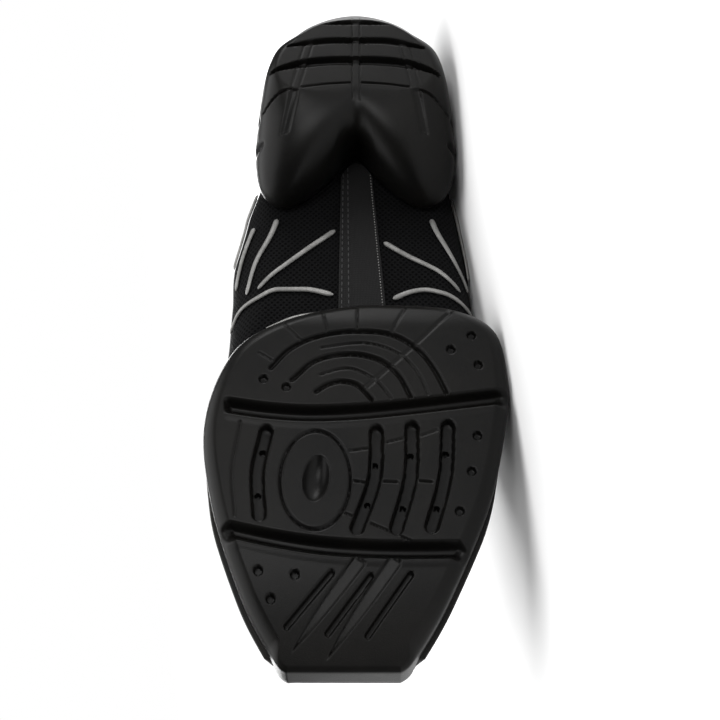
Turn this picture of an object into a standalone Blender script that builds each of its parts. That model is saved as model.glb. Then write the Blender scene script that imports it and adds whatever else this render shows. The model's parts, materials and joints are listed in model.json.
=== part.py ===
"""A right dance sneaker with a split sole, empty and unbent, lying on its outer side. Metres, +Z up.

The shoe is modelled standing, in its own frame: x runs from the back of the heel to the toe platform,
+y is the inner (medial) side and z is the height above the ground that the soles stand on. At the end
one empty turns it over onto its outer side.
"""

import math

import bmesh
import bpy
import numpy as np
from mathutils import Matrix, Vector
from mathutils.bvhtree import BVHTree

# Driving sizes of the soles
LENGTH = 0.264
BALL_WIDTH = 0.102
HEEL_WIDTH = 0.075
HEEL_HEIGHT = 0.031
BALL_HEIGHT = 0.017
TOE_SPRING = 0.009
OUTSOLE_THICKNESS = 0.009
EDGE_ROUNDING = 0.005
REAR_BEVEL = 0.0045
PLATFORM_HEIGHT = 0.0235
PLATFORM_DEPTH = 0.006
MIDSOLE_FLARE = 0.0018
CUP_LIP = 0.0065

# Driving sizes of the upper, and of what is sewn on it or lies in it
UPPER_BALL_WIDTH = 0.095
UPPER_HEEL_WIDTH = 0.067
INSTEP_HEIGHT = 0.071
TOE_ROOM = 0.0255
WALL = 0.002
OVERLAY_THICKNESS = 0.0012
PIPING_WIDTH = 0.0020
PIPING_HEIGHT = 0.0011
BAND_THICKNESS = 0.0012
BAND_WIDTH = 0.0165
INSOLE_THICKNESS = 0.0035
TONGUE_THICKNESS = 0.005
CUFF_HEIGHT = 0.008
CUFF_THICKNESS = 0.0055
EYELET_PAIRS = 6
EYELET_RADIUS = 0.0035
EYELET_HOLE = 0.0018
EYELET_HEIGHT = 0.0008
LACE_WIDTH = 0.0065
LACE_THICKNESS = 0.0016

# Tread, cut into the soles
GROOVE_DEPTH = 0.0045
GROOVE_WIDTH = 0.0075
SLOT_DEPTH = 0.003
SLOT_WIDTH = 0.0052
TOE_SLOT_WIDTH = 0.0024

GAP = 0.0003
SEAT_GAP = 0.0006

MEDIAL, LATERAL = 1.0, -1.0
COLUMNS = 30

# Height of the upper's underside above the ground, from 0 at the ball to 1 at the heel seat
SEAT_RISE = (
    (0.0, 1.0),
    (0.22, 1.0),
    (0.30, 0.90),
    (0.38, 0.62),
    (0.46, 0.36),
    (0.55, 0.14),
    (0.66, 0.0),
    (1.0, 0.0),
)
SPRING_START = 0.80

# Plan of the upper where its bottom turns up: along, then the medial and lateral half widths as shares of
# the local width
FEATHER_ENDS = (0.036, 0.958)
FEATHER = (
    (0.00, 0.43, 0.43),
    (0.15, 0.44, 0.43),
    (0.25, 0.42, 0.41),
    (0.35, 0.34, 0.353),
    (0.45, 0.335, 0.358),
    (0.55, 0.394, 0.405),
    (0.70, 0.463, 0.463),
    (0.85, 0.418, 0.350),
    (1.00, 0.350, 0.240),
)
# The same at the upper's widest, with its height as a share of the way from the underside to the top line
WIDEST_ENDS = (0.017, 0.979)
WIDEST = (
    (0.00, 0.500, 0.500, 0.28),
    (0.13, 0.507, 0.493, 0.29),
    (0.24, 0.550, 0.520, 0.30),
    (0.30, 0.580, 0.533, 0.30),
    (0.37, 0.580, 0.522, 0.28),
    (0.45, 0.532, 0.491, 0.27),
    (0.55, 0.496, 0.485, 0.26),
    (0.70, 0.500, 0.495, 0.29),
    (0.85, 0.452, 0.388, 0.33),
    (1.00, 0.375, 0.272, 0.37),
)
# The top line: half width of the opening, height above the underside as a share of the instep, and roundness
TOP_ENDS = (0.030, 0.894)
TOP = (
    (0.000, 0.345, 0.345, 0.860, 0.85),
    (0.100, 0.370, 0.370, 0.775, 0.85),
    (0.200, 0.385, 0.385, 0.640, 0.85),
    (0.300, 0.375, 0.375, 0.690, 0.82),
    (0.380, 0.325, 0.325, 0.860, 0.78),
    (0.430, 0.240, 0.240, 0.990, 0.72),
    (0.480, 0.165, 0.165, 0.990, 0.66),
    (0.600, 0.128, 0.128, 0.848, 0.60),
    (0.680, 0.110, 0.110, 0.746, 0.55),
    (0.705, 0.000, 0.000, 0.712, 0.52),
    (0.770, 0.000, 0.000, 0.620, 0.50),
    (0.880, 0.000, 0.000, 0.499, 0.50),
    (1.000, 0.000, 0.000, 0.359, 0.50),
)
THROAT_END = 0.705
THROAT_ROUNDING = 0.045
COLLAR_FRONT = 0.355
TOE_SWING = 0.0032

# Rows up the upper: below T_FEATHER is the bottom, T_WIDEST is its widest line and 1 is the top line
T_FEATHER = 0.25
T_WIDEST = 0.5
ROWS = (0.0, 0.16, 0.25, 0.34, 0.42, 0.5, 0.58, 0.66, 0.74, 0.82, 0.91, 1.0)
LASTING_MARGIN = 0.16
FOREFOOT_OPEN = (0.60, 0.93)
HEEL_OPEN = (0.07, 0.20)

# Plan of the forefoot sole: share of the length, share of the ball width towards the inner side
FOREFOOT = (
    (0.508, 0.02),
    (0.534, 0.235),
    (0.583, 0.412),
    (0.682, 0.497),
    (0.795, 0.462),
    (0.909, 0.362),
    (0.972, 0.275),
    (0.998, 0.225),
    (1.000, 0.150),
    (1.000, -0.080),
    (0.998, -0.150),
    (0.972, -0.205),
    (0.909, -0.300),
    (0.795, -0.427),
    (0.682, -0.493),
    (0.621, -0.501),
    (0.553, -0.466),
    (0.515, -0.324),
    (0.506, -0.137),
)
# Plan of the heel at its widest: share of the length, share of the heel width. Two lobes reach under the arch
HEEL = (
    (0.006, 0.010),
    (0.023, 0.220),
    (0.053, 0.350),
    (0.114, 0.447),
    (0.190, 0.497),
    (0.250, 0.505),
    (0.292, 0.465),
    (0.311, 0.365),
    (0.299, 0.255),
    (0.265, 0.130),
    (0.222, 0.015),
    (0.265, -0.115),
    (0.299, -0.240),
    (0.311, -0.350),
    (0.290, -0.450),
    (0.243, -0.492),
    (0.182, -0.480),
    (0.106, -0.432),
    (0.053, -0.335),
    (0.023, -0.205),
)

HEEL_CENTRE = 0.150
HEEL_TREAD = (
    (0.058, 0.000),
    (0.067, 0.180),
    (0.098, 0.320),
    (0.140, 0.385),
    (0.172, 0.330),
    (0.180, 0.180),
    (0.172, 0.005),
    (0.180, -0.170),
    (0.172, -0.320),
    (0.140, -0.372),
    (0.098, -0.310),
    (0.067, -0.172),
)
# Height of the heel's widest line, at its back and at its lobes
HEEL_BULGE_BACK = 0.016
HEEL_BULGE_FRONT = 0.026
HEEL_BACK_BEVEL = 0.75

# The tongue's free end: share of its rise, its width and how far it leans forward
TONGUE_TOP = (
    (0.15, 0.93, 0.0),
    (0.3, 0.86, 0.0006),
    (0.6, 0.84, 0.0014),
    (0.82, 0.83, 0.0024),
    (0.95, 0.74, 0.0032),
    (1.0, 0.55, 0.0035),
)
TONGUE_CLEARANCE = 0.0009
TONGUE_RISE = 0.030
TONGUE_PAD = (0.55, 0.85, 1.0, 1.0, 1.0, 0.85, 0.55)

# Where the eyelets and the eyestays lie: height t, then places from heel to toe
EYELET_LEVEL = 0.915
EYELET_SPAN = (0.650, 0.462)
EYESTAY_SPAN = (0.690, 0.425)

# Raised ribs over the waist, as (place from heel to toe, t), from the heel's end to the ball's
RIBS_MEDIAL = (
    ((0.245, 0.47), (0.290, 0.465), (0.340, 0.46), (0.385, 0.45)),
    ((0.325, 0.375), (0.350, 0.39), (0.390, 0.40), (0.430, 0.42)),
    ((0.316, 0.280), (0.360, 0.31), (0.400, 0.337), (0.452, 0.356)),
    ((0.338, 0.076), (0.376, 0.175), (0.414, 0.255), (0.448, 0.312)),
    ((0.462, 0.070), (0.452, 0.16), (0.452, 0.24), (0.466, 0.31), (0.480, 0.38), (0.505, 0.43)),
    ((0.497, 0.10), (0.505, 0.17), (0.525, 0.23)),
)
RIBS_LATERAL = (
    ((0.255, 0.46), (0.300, 0.455), (0.350, 0.45), (0.405, 0.45)),
    ((0.316, 0.265), (0.360, 0.303), (0.400, 0.352), (0.436, 0.415)),
    ((0.362, 0.092), (0.388, 0.165), (0.412, 0.24), (0.450, 0.342)),
    ((0.470, 0.102), (0.458, 0.15), (0.453, 0.20), (0.461, 0.26), (0.474, 0.33), (0.486, 0.39)),
)

# Tread that is cut into the forefoot and the heel: name, sizes and path in shares of length and width
FOREFOOT_GROOVES = (
    (
        "groove_ball",
        ((0.659, 0.41), (0.670, 0.29), (0.672, 0.08), (0.666, -0.10), (0.656, -0.33), (0.648, -0.47)),
    ),
    (
        "groove_toe",
        ((0.833, 0.41), (0.848, 0.28), (0.858, 0.13), (0.862, -0.04), (0.863, -0.20), (0.862, -0.34)),
    ),
)
FOREFOOT_SLOTS = (
    ("slot_1", SLOT_WIDTH, ((0.702, 0.291), (0.760, 0.316), (0.813, 0.306))),
    ("slot_2", SLOT_WIDTH, ((0.702, -0.067), (0.764, -0.060), (0.831, -0.004))),
    ("slot_3", SLOT_WIDTH, ((0.697, -0.181), (0.764, -0.175), (0.831, -0.128))),
    ("slot_4", SLOT_WIDTH, ((0.695, -0.298), (0.764, -0.285), (0.829, -0.239))),
    ("toe_slot_1", TOE_SLOT_WIDTH, ((0.887, 0.076), (0.949, 0.214))),
    ("toe_slot_2", TOE_SLOT_WIDTH, ((0.890, -0.046), (0.957, 0.086))),
    ("toe_slot_3", TOE_SLOT_WIDTH, ((0.889, -0.171), (0.959, -0.037))),
)
SPIN_SPOT = (0.766, 0.128)
HEEL_GROOVES = (
    ("heel_groove_1", 0.0022, 0.0020, ((0.0635, 0.17), (0.0640, 0.0), (0.0640, -0.17))),
    (
        "heel_groove_2",
        0.0035,
        0.0030,
        ((0.104, 0.34), (0.098, 0.17), (0.096, 0.0), (0.099, -0.17), (0.107, -0.33)),
    ),
    (
        "heel_groove_3",
        0.0045,
        0.0038,
        ((0.144, 0.40), (0.133, 0.22), (0.131, 0.0), (0.135, -0.22), (0.151, -0.39)),
    ),
)
# The arch band from its rounded end in the heel's cleft to the forefoot
BAND_ENDS = (0.2290, 0.501)
BAND_END_ROUNDING = 0.0235


def eased(share):
    share = min(max(share, 0.0), 1.0)
    return share * share * (3 - 2 * share)


def row_at(table, at):
    """The table's row at that place in its first column, on a smooth curve that doesn't overshoot."""
    rows = np.array(table, float)
    place, values = rows[:, 0], rows[:, 1:]
    at = min(max(at, place[0]), place[-1])
    step = np.diff(values, axis=0) / np.diff(place)[:, None]
    slope = np.vstack([step[:1], (step[1:] + step[:-1]) / 2, step[-1:]])
    flat = np.zeros_like(values, bool)
    flat[1:-1] = step[1:] * step[:-1] <= 0
    slope[flat] = 0.0
    k = min(int(np.searchsorted(place, at, side="right")) - 1, len(place) - 2)
    width = place[k + 1] - place[k]
    u = (at - place[k]) / width
    return (
        values[k] * (2 * u**3 - 3 * u**2 + 1)
        + values[k + 1] * (3 * u**2 - 2 * u**3)
        + slope[k] * width * (u**3 - 2 * u**2 + u)
        + slope[k + 1] * width * (u**3 - u**2)
    )


def end_rounding(share):
    """A half width's factor near an end of the plan: a quarter ellipse over that share of it."""
    return math.sqrt(max(0.0, 1 - (1 - min(max(share, 0.0), 1.0)) ** 2))


def seat_height(x):
    """Height of the upper's underside above the ground."""
    rise = row_at(SEAT_RISE, x / LENGTH)[0]
    spring = max(0.0, (x / LENGTH - SPRING_START) / (1 - SPRING_START))
    return BALL_HEIGHT + rise * (HEEL_HEIGHT - BALL_HEIGHT) + TOE_SPRING * spring**1.5


def ground_height(x):
    """Height of the forefoot's tread: flat under the ball, sprung at the toe and bevelled at the back."""
    spring = max(0.0, (x / LENGTH - SPRING_START - 0.04) / (1 - SPRING_START - 0.04))
    rear = max(0.0, 1 - (x / LENGTH - 0.506) / 0.05)
    return TOE_SPRING * spring**1.5 + REAR_BEVEL * rear**2


def parting_height(x):
    """Height of the line between the forefoot's outsole and its midsole."""
    share = OUTSOLE_THICKNESS / BALL_HEIGHT
    return ground_height(x) + share * (seat_height(x) - ground_height(x))


def along_of(turn):
    """The place from heel to toe, 0 to 1, of a turn round the shoe: 0 is the heel's back, 1 the toe's tip."""
    back = abs((turn + 1) % 2 - 1)
    ease = 0.15
    if back < ease:
        return back * back / (2 * ease) / (1 - ease)
    if back > 1 - ease:
        return 1 - (1 - back) ** 2 / (2 * ease) / (1 - ease)
    return (back - ease / 2) / (1 - ease)


def turn_of(along, side):
    """The turn at which that side of the shoe passes a place from heel to toe."""
    low, high = 0.0, 1.0
    for _ in range(40):
        middle = (low + high) / 2
        if along_of(middle) < along:
            low = middle
        else:
            high = middle
    return low if side == MEDIAL else 2 - low


def local_width(along):
    return UPPER_HEEL_WIDTH + (UPPER_BALL_WIDTH - UPPER_HEEL_WIDTH) * eased((along - 0.2) / 0.4)


def feather_point(along, side):
    medial, lateral = row_at(FEATHER, along)
    half = (medial if side == MEDIAL else lateral) * local_width(along)
    half *= end_rounding(along / 0.14) * end_rounding((1 - along) / 0.17)
    x = LENGTH * (FEATHER_ENDS[0] + along * (FEATHER_ENDS[1] - FEATHER_ENDS[0]))
    return Vector((x, side * half, seat_height(x)))


def top_point(along, side):
    medial, lateral, height, _ = row_at(TOP, along)
    half = (medial if side == MEDIAL else lateral) * local_width(along)
    half *= end_rounding(along / 0.13)
    if along > THROAT_END - THROAT_ROUNDING:
        medial = row_at(TOP, THROAT_END - THROAT_ROUNDING)[0] * local_width(along)
        half = medial * end_rounding((THROAT_END - along) / THROAT_ROUNDING)
    x = LENGTH * (TOP_ENDS[0] + along * (TOP_ENDS[1] - TOP_ENDS[0]))
    toe = eased((along - THROAT_END) / (1 - THROAT_END))
    rise = height * INSTEP_HEIGHT + toe * (TOE_ROOM - height * INSTEP_HEIGHT)
    return Vector((x, side * half + TOE_SWING * eased((along - 0.5) / 0.5), seat_height(x) + rise))


def widest_point(along, side):
    medial, lateral, share = row_at(WIDEST, along)
    half = (medial if side == MEDIAL else lateral) * local_width(along)
    half *= end_rounding(along / 0.13) * end_rounding((1 - along) / 0.16)
    x = LENGTH * (WIDEST_ENDS[0] + along * (WIDEST_ENDS[1] - WIDEST_ENDS[0]))
    floor = seat_height(x)
    return Vector((x, side * half, floor + share * (top_point(along, side).z - floor)))


def skin(turn, t):
    """A point of the upper's outer face, at a turn round the shoe and a height t from the bottom's middle."""
    side = MEDIAL if turn % 2 <= 1 else LATERAL
    along = along_of(turn)
    feather = feather_point(along, side)
    if t <= T_FEATHER:
        share = t / T_FEATHER
        return Vector((feather.x, feather.y * share, feather.z))
    widest = widest_point(along, side)
    if t <= T_WIDEST:
        angle = (t - T_FEATHER) / (T_WIDEST - T_FEATHER) * math.pi / 2
        plan = feather.lerp(widest, math.sin(angle))
        return Vector((plan.x, plan.y, feather.z + (widest.z - feather.z) * (1 - math.cos(angle))))
    top = top_point(along, side)
    roundness = row_at(TOP, along)[3]
    angle = (t - T_WIDEST) / (1 - T_WIDEST) * math.pi / 2
    rise = math.sin(angle)
    plan = top.lerp(widest, max(0.0, 1 - rise * rise) ** roundness)
    return Vector((plan.x, plan.y, widest.z + (top.z - widest.z) * rise))


def skin_frame(turn, t):
    """The outward normal of the upper's face, and the direction up it."""
    step = 0.004
    if t < T_FEATHER - step:
        x = skin(turn, t).x
        slope = (seat_height(x + 0.001) - seat_height(x - 0.001)) / 0.002
        return Vector((slope, 0.0, -1.0)).normalized(), Vector((0.0, 1.0, 0.0))
    ahead = skin(turn + step, t) - skin(turn - step, t)
    up = skin(turn, min(t + step, 1.0)) - skin(turn, max(t - step, 0.0))
    if ahead.length < 1e-9:
        ahead = Vector((1.0, 0.0, 0.0))
    normal = ahead.cross(up).normalized()
    return -normal, up.normalized()


def lifted(turn, t, height):
    return skin(turn, t) + skin_frame(turn, t)[0] * height


def columns_between(first, last):
    """The turns of the upper's own columns in that span."""
    return [k / COLUMNS for k in range(math.ceil(first * COLUMNS), math.floor(last * COLUMNS) + 1)]


def even_turns(first, last, count):
    return [first + (last - first) * k / count for k in range(count + 1)]


def material(name, colour, roughness):
    made = bpy.data.materials.new(name)
    made.use_nodes = True
    shader = made.node_tree.nodes["Principled BSDF"]
    shader.inputs["Base Color"].default_value = (*colour, 1.0)
    shader.inputs["Roughness"].default_value = roughness
    shader.inputs["Metallic"].default_value = 0.0
    return made


def solid(name, vertices, faces, finish, merge=1e-6):
    """A named object from a closed mesh, its doubles merged and its faces turned outwards."""
    mesh = bpy.data.meshes.new(name)
    work = bmesh.new()
    corners = [work.verts.new(v) for v in vertices]
    for face in faces:
        ring = [corners[i] for i in face]
        if len(set(ring)) > 2:
            work.faces.new(ring)
    bmesh.ops.remove_doubles(work, verts=work.verts, dist=merge)
    bmesh.ops.dissolve_degenerate(work, edges=work.edges, dist=merge)
    bmesh.ops.delete(work, geom=[v for v in work.verts if not v.link_faces], context="VERTS")
    bmesh.ops.recalc_face_normals(work, faces=work.faces)
    if work.calc_volume(signed=True) < 0:
        bmesh.ops.reverse_faces(work, faces=work.faces)
    work.to_mesh(mesh)
    work.free()
    mesh.materials.append(finish)
    mesh.shade_smooth()
    mesh.set_sharp_from_angle(angle=math.radians(40))
    made = bpy.data.objects.new(name, mesh)
    bpy.context.scene.collection.objects.link(made)
    return made


def rings(name, loops, finish):
    """A closed solid through loops of equally many points; an end loop of one point closes that end."""
    vertices, starts = [], []
    for loop in loops:
        starts.append(len(vertices))
        vertices.extend(loop)
    faces = []
    count = max(len(loop) for loop in loops)
    for (start, loop), (following, other) in zip(
        zip(starts, loops), zip(starts[1:], loops[1:]), strict=False
    ):
        for j in range(count):
            k = (j + 1) % count
            if len(loop) > 1:
                faces.append((start + j, start + k, following + k if len(other) > 1 else following))
            if len(other) > 1:
                faces.append((start + j if len(loop) > 1 else start, following + k, following + j))
    return solid(name, vertices, faces, finish)


def sheet(name, outer, inner, finish):
    """A closed solid between two equal grids of points, joined round their rim."""
    rows, columns = len(outer), len(outer[0])
    vertices = [p for row in outer for p in row] + [p for row in inner for p in row]
    under = rows * columns
    faces = []
    for i in range(rows - 1):
        for j in range(columns - 1):
            a, b = i * columns + j, (i + 1) * columns + j
            faces.append((a, a + 1, b + 1, b))
            faces.append((under + a, under + b, under + b + 1, under + a + 1))
    border = [j for j in range(columns)]
    border += [i * columns + columns - 1 for i in range(1, rows)]
    border += [(rows - 1) * columns + j for j in range(columns - 2, -1, -1)]
    border += [i * columns for i in range(rows - 2, 0, -1)]
    for a, b in zip(border, border[1:] + border[:1], strict=True):
        faces.append((a, under + a, under + b, b))
    return solid(name, vertices, faces, finish)


def closed_curve(points, count):
    """Points spaced evenly along the smooth closed curve through the given plan points."""
    given = np.array(points, float)
    before, after, second = np.roll(given, 1, 0), np.roll(given, -1, 0), np.roll(given, -2, 0)
    fine = []
    for u in np.linspace(0, 1, 24, endpoint=False):
        fine.append(
            0.5
            * (
                2 * given
                + (after - before) * u
                + (2 * before - 5 * given + 4 * after - second) * u**2
                + (3 * given - before - 3 * after + second) * u**3
            )
        )
    path = np.stack(fine, axis=1).reshape(-1, 2)
    path = np.vstack([path, path[:1]])
    run = np.concatenate([[0.0], np.cumsum(np.hypot(*np.diff(path, axis=0).T))])
    at = np.linspace(0, run[-1], count, endpoint=False)
    return np.stack([np.interp(at, run, path[:, 0]), np.interp(at, run, path[:, 1])], axis=1)


def inset(outline, distance):
    """A closed plan outline moved inwards."""
    ahead = np.roll(outline, -1, 0) - outline
    ahead /= np.linalg.norm(ahead, axis=1)[:, None]
    ahead += np.roll(ahead, 1, 0)
    ahead += 0.5 * (np.roll(ahead, 1, 0) + np.roll(ahead, -1, 0))
    normal = np.stack([ahead[:, 1], -ahead[:, 0]], axis=1)
    normal /= np.linalg.norm(normal, axis=1)[:, None]
    x, y = outline.T
    turning = np.sum(x * np.roll(y, -1) - np.roll(x, -1) * y)
    return outline - math.copysign(distance, turning) * normal


def towards(outline, centre, share):
    return centre + (outline - centre) * share


def at_heights(outline, height):
    """A plan outline as points in space; the height is a number or a function of the point."""
    return [Vector((x, y, height(x, y) if callable(height) else height)) for x, y in outline]


def split_quad(a, b, k):
    """The face between two neighbouring columns above row k, split the same way on the upper and its last."""
    return [(a + k, a + k + 1, b + k + 1), (a + k, b + k + 1, b + k)]


def build_upper(finish):
    """The hollow upper: one wall, open at collar and throat, and underneath where each sole closes it."""
    turns = even_turns(0, 2, 2 * COLUMNS)[:-1]
    vertices = [skin(turn, t) for turn in turns for t in ROWS]
    faces = []
    for i, turn in enumerate(turns):
        middle = along_of(turn + 1 / (2 * COLUMNS))
        open_below = any(low < middle < high for low, high in (FOREFOOT_OPEN, HEEL_OPEN))
        a, b = i * len(ROWS), (i + 1) % len(turns) * len(ROWS)
        for k, t in enumerate(ROWS[:-1]):
            if not (open_below and t < LASTING_MARGIN):
                faces += split_quad(a, b, k)
    upper = solid("upper", vertices, faces, finish, merge=2e-5)
    outward = sum(
        (f.center - Vector((LENGTH / 2, 0, HEEL_HEIGHT * 1.5))).dot(f.normal) * f.area
        for f in upper.data.polygons
    )
    if outward < 0:
        upper.data.flip_normals()
    wall = upper.modifiers.new("wall", "SOLIDIFY")
    wall.thickness = WALL
    wall.offset = -1.0
    wall.use_even_offset = True
    wall.thickness_clamp = 0.0
    return upper


def build_last():
    """A cutter a gap larger than the upper's lower half, which hollows the soles' tops to fit it."""
    turns = even_turns(0, 2, 2 * COLUMNS)[:-1]
    rows = [t for t in ROWS if T_FEATHER <= t <= T_WIDEST]
    vertices, faces = [], []
    size = len(rows) + 2
    for turn in turns:
        column = [lifted(turn, t, SEAT_GAP) for t in rows]
        low, high = column[0], column[-1]
        vertices += [Vector((low.x, 0, low.z)), *column, Vector((high.x, 0, high.z))]
    for i in range(len(turns)):
        a, b = i * size, (i + 1) % len(turns) * size
        for k in range(size - 1):
            faces += split_quad(a, b, k)
    return solid("last", vertices, faces, None, merge=2e-5)


def cut(target, cutter):
    cutter.hide_render = True
    cutter.display_type = "WIRE"
    change = target.modifiers.new(cutter.name, "BOOLEAN")
    change.operation = "DIFFERENCE"
    change.object = cutter


def channel(target, name, path, width, depth, surface, taper=0.0004):
    """Cuts a round-ended channel along a plan path, its floor at that depth above the tread's surface."""
    path = np.array(path, float)
    run = np.concatenate([[0.0], np.cumsum(np.hypot(*np.diff(path, axis=0).T))])
    half = width / 2
    at = np.linspace(half * 0.9, run[-1] - half * 0.9, max(3, int(run[-1] / 0.007)))
    tip = half * np.array([-0.97, -0.7, -0.3])
    at = np.concatenate([tip + at[0], at, at[-1] - tip[::-1]])
    shrink = np.ones(len(at))
    shrink[:3] = shrink[-1:-4:-1] = np.sqrt(1 - (tip / half) ** 2)
    line = np.stack([np.interp(at, run, path[:, 0]), np.interp(at, run, path[:, 1])], axis=1)
    ahead = np.gradient(line, at, axis=0)
    ahead /= np.linalg.norm(ahead, axis=1)[:, None]
    aside = np.stack([-ahead[:, 1], ahead[:, 0]], axis=1) * shrink[:, None]
    below, floor = [], []
    for (x, y), (u, v) in zip(line, aside, strict=True):
        top = surface(x, y) + depth
        below.append([Vector((x + s * u * half, y + s * v * half, -0.004)) for s in (-1, 1)])
        narrow = half - taper
        floor.append([Vector((x + s * u * narrow, y + s * v * narrow, top)) for s in (-1, 1)])
    cut(target, sheet(name, below, floor, None))


def patch(name, turns, heights, low, high, finish):
    """An overlay on the upper between two lifts, over a grid of turns; heights may change with the turn."""
    outer, inner = [], []
    for turn in turns:
        levels = heights(turn) if callable(heights) else heights
        outer.append([lifted(turn, t, high) for t in levels])
        inner.append([lifted(turn, t, low) for t in levels])
    return sheet(name, outer, inner, finish)


def over_lip(turn, clearance):
    """The row, in t, at which the upper rises out of the sole's lip."""
    side = MEDIAL if turn % 2 <= 1 else LATERAL
    along = along_of(turn)
    rise = widest_point(along, side).z - feather_point(along, side).z
    share = min(1.0, (CUP_LIP + clearance) / rise)
    return T_FEATHER + (T_WIDEST - T_FEATHER) * math.acos(1 - share) / (math.pi / 2)


def strip_on_skin(name, path, width, height, finish):
    """A raised rib along a path of (place from heel to toe, t) on one side of the upper."""
    side, points = path
    table = [(k / (len(points) - 1), *point) for k, point in enumerate(points)]
    fine = [row_at(table, k / 8) for k in range(9)]
    line = [lifted(turn_of(along, side), t, GAP * 1.2) for along, t in fine]
    outer, inner = [], []
    for k, (along, t) in enumerate(fine):
        before, after = line[max(k - 1, 0)], line[min(k + 1, len(line) - 1)]
        ahead = (after - before).normalized()
        normal = skin_frame(turn_of(along, side), t)[0]
        across = normal.cross(ahead).normalized()
        normal = ahead.cross(across)
        shrink = 0.45 if k in (0, 8) else 1.0
        offsets = ((-0.5, 0.35), (0.0, 1.0), (0.5, 0.35))
        outer.append([line[k] + across * (width * o * shrink) + normal * (height * h) for o, h in offsets])
        inner.append([line[k] + across * (width * o * shrink) for o, _ in offsets])
    return sheet(name, outer, inner, finish)


def build_insole(finish):
    """A soft board in the upper, over the lasting margin and both openings."""
    turns = even_turns(0, 2, 2 * COLUMNS)[:-1]
    base = WALL + SEAT_GAP
    rings_of = []
    for turn in turns:
        side = MEDIAL if turn <= 1 else LATERAL
        edge = feather_point(min(max(along_of(turn), 0.004), 0.996), side)
        x = LENGTH / 2 + (edge.x - LENGTH / 2) * 0.985
        y = edge.y - side * min(0.0012, abs(edge.y) * 0.5)
        floor = seat_height(x) + base
        rings_of.append(
            [
                Vector((x, 0, floor)),
                Vector((x, y * 0.5, floor)),
                Vector((x, y, floor + 0.0004)),
                Vector((x, y, floor + INSOLE_THICKNESS)),
                Vector((x, y * 0.5, floor + INSOLE_THICKNESS)),
                Vector((x, 0, floor + INSOLE_THICKNESS)),
            ]
        )
    size = len(rings_of[0])
    vertices = [p for ring in rings_of for p in ring]
    faces = []
    for i in range(len(turns)):
        a, b = i * size, (i + 1) % len(turns) * size
        faces += [(a + k, a + k + 1, b + k + 1, b + k) for k in range(size - 1)]
    return solid("insole", vertices, faces, finish, merge=2e-5)


def build_tongue(finish):
    """A padded tongue under the throat. It follows the upper's inside, then stands free over the collar."""
    levels = (0.86, 0.93, 0.985)
    drop = WALL + TONGUE_CLEARANCE
    outer, inner = [], []
    for along in np.linspace(0.715, 0.445, 10):
        left = [lifted(turn_of(along, MEDIAL), t, -drop) for t in levels]
        right = [lifted(turn_of(along, LATERAL), t, -drop) for t in levels]
        middle = (left[-1] + right[-1]) / 2 + Vector((0, 0, 0.0006))
        outer.append([*left, middle, *right[::-1]])
        pad = [Vector((0, 0, TONGUE_THICKNESS * share)) for share in TONGUE_PAD]
        inner.append([p - depth for p, depth in zip(outer[-1], pad, strict=True)])
    reach = (outer[-1][3] - outer[-3][3]).normalized()
    out, back = outer[-1], inner[-1]
    for share, spread, lean in TONGUE_TOP:
        shift = reach * (share * TONGUE_RISE) + Vector((lean, 0, 0))
        for rows, source, pinch in ((outer, out, 0.0), (inner, back, 0.32 * share**6)):
            row = []
            for p, q in zip(source, out if rows is inner else back, strict=True):
                moved = p.lerp(q, pinch) + shift
                moved.y = source[3].y + (moved.y - source[3].y) * spread
                row.append(moved)
            rows.append(row)
    return sheet("tongue", outer, inner, finish)



# The tongue's free end: share of its rise, spread and lean back


def build_collar(finish):
    """The padded cuff: a soft roll that stands on the top line, from one side of the throat to the other."""
    first = turn_of(COLLAR_FRONT, LATERAL) - 2
    last = turn_of(COLLAR_FRONT, MEDIAL)
    stations = 32
    loops = []
    for k in range(stations + 1):
        turn = first + (last - first) * k / stations
        near_end = min(k, stations - k) / 4
        scale = 0.35 + 0.65 * end_rounding(min(1.0, near_end))
        side = MEDIAL if turn % 2 <= 1 else LATERAL
        edge = top_point(along_of(turn), side)
        ahead = skin(turn + 0.01, 1.0) - skin(turn - 0.01, 1.0)
        ahead.z = 0
        outward = Vector((ahead.y, -ahead.x, 0)).normalized()
        height, thick = CUFF_HEIGHT * scale, CUFF_THICKNESS * scale
        centre = edge - outward * (WALL / 2) + Vector((0, 0, SEAT_GAP * 1.6 + height / 2))
        loop = []
        for j in range(8):
            angle = (j + 0.5) * math.pi / 4
            aside = outward * (math.cos(angle) * thick / 2)
            loop.append(centre + aside + Vector((0, 0, math.sin(angle) * height / 2)))
        loops.append(loop)
    ends = [[sum(loop, Vector()) / len(loop)] for loop in (loops[0], loops[-1])]
    return rings("collar", [ends[0], *loops, ends[1]], finish)


def build_eyelet(name, turn, t, finish):
    """A flat ring round a lace hole, on the eyestay."""
    centre = lifted(turn, t, GAP * 2 + OVERLAY_THICKNESS)
    normal, up = skin_frame(turn, t)
    aside = normal.cross(up)
    loops = []
    for k in range(10):
        angle = k * math.tau / 10
        spoke = up * math.cos(angle) + aside * math.sin(angle)
        loops.append(
            [
                centre + spoke * EYELET_HOLE + normal * 0.0001,
                centre + spoke * EYELET_RADIUS + normal * 0.0001,
                centre + spoke * (EYELET_RADIUS - 0.0006) + normal * EYELET_HEIGHT,
                centre + spoke * (EYELET_HOLE + 0.0004) + normal * EYELET_HEIGHT,
            ]
        )
    vertices = [p for loop in loops for p in loop]
    faces = []
    for k in range(10):
        a, b = 4 * k, 4 * ((k + 1) % 10)
        faces += [(a + j, a + (j + 1) % 4, b + (j + 1) % 4, b + j) for j in range(4)]
    return solid(name, vertices, faces, finish)


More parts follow.
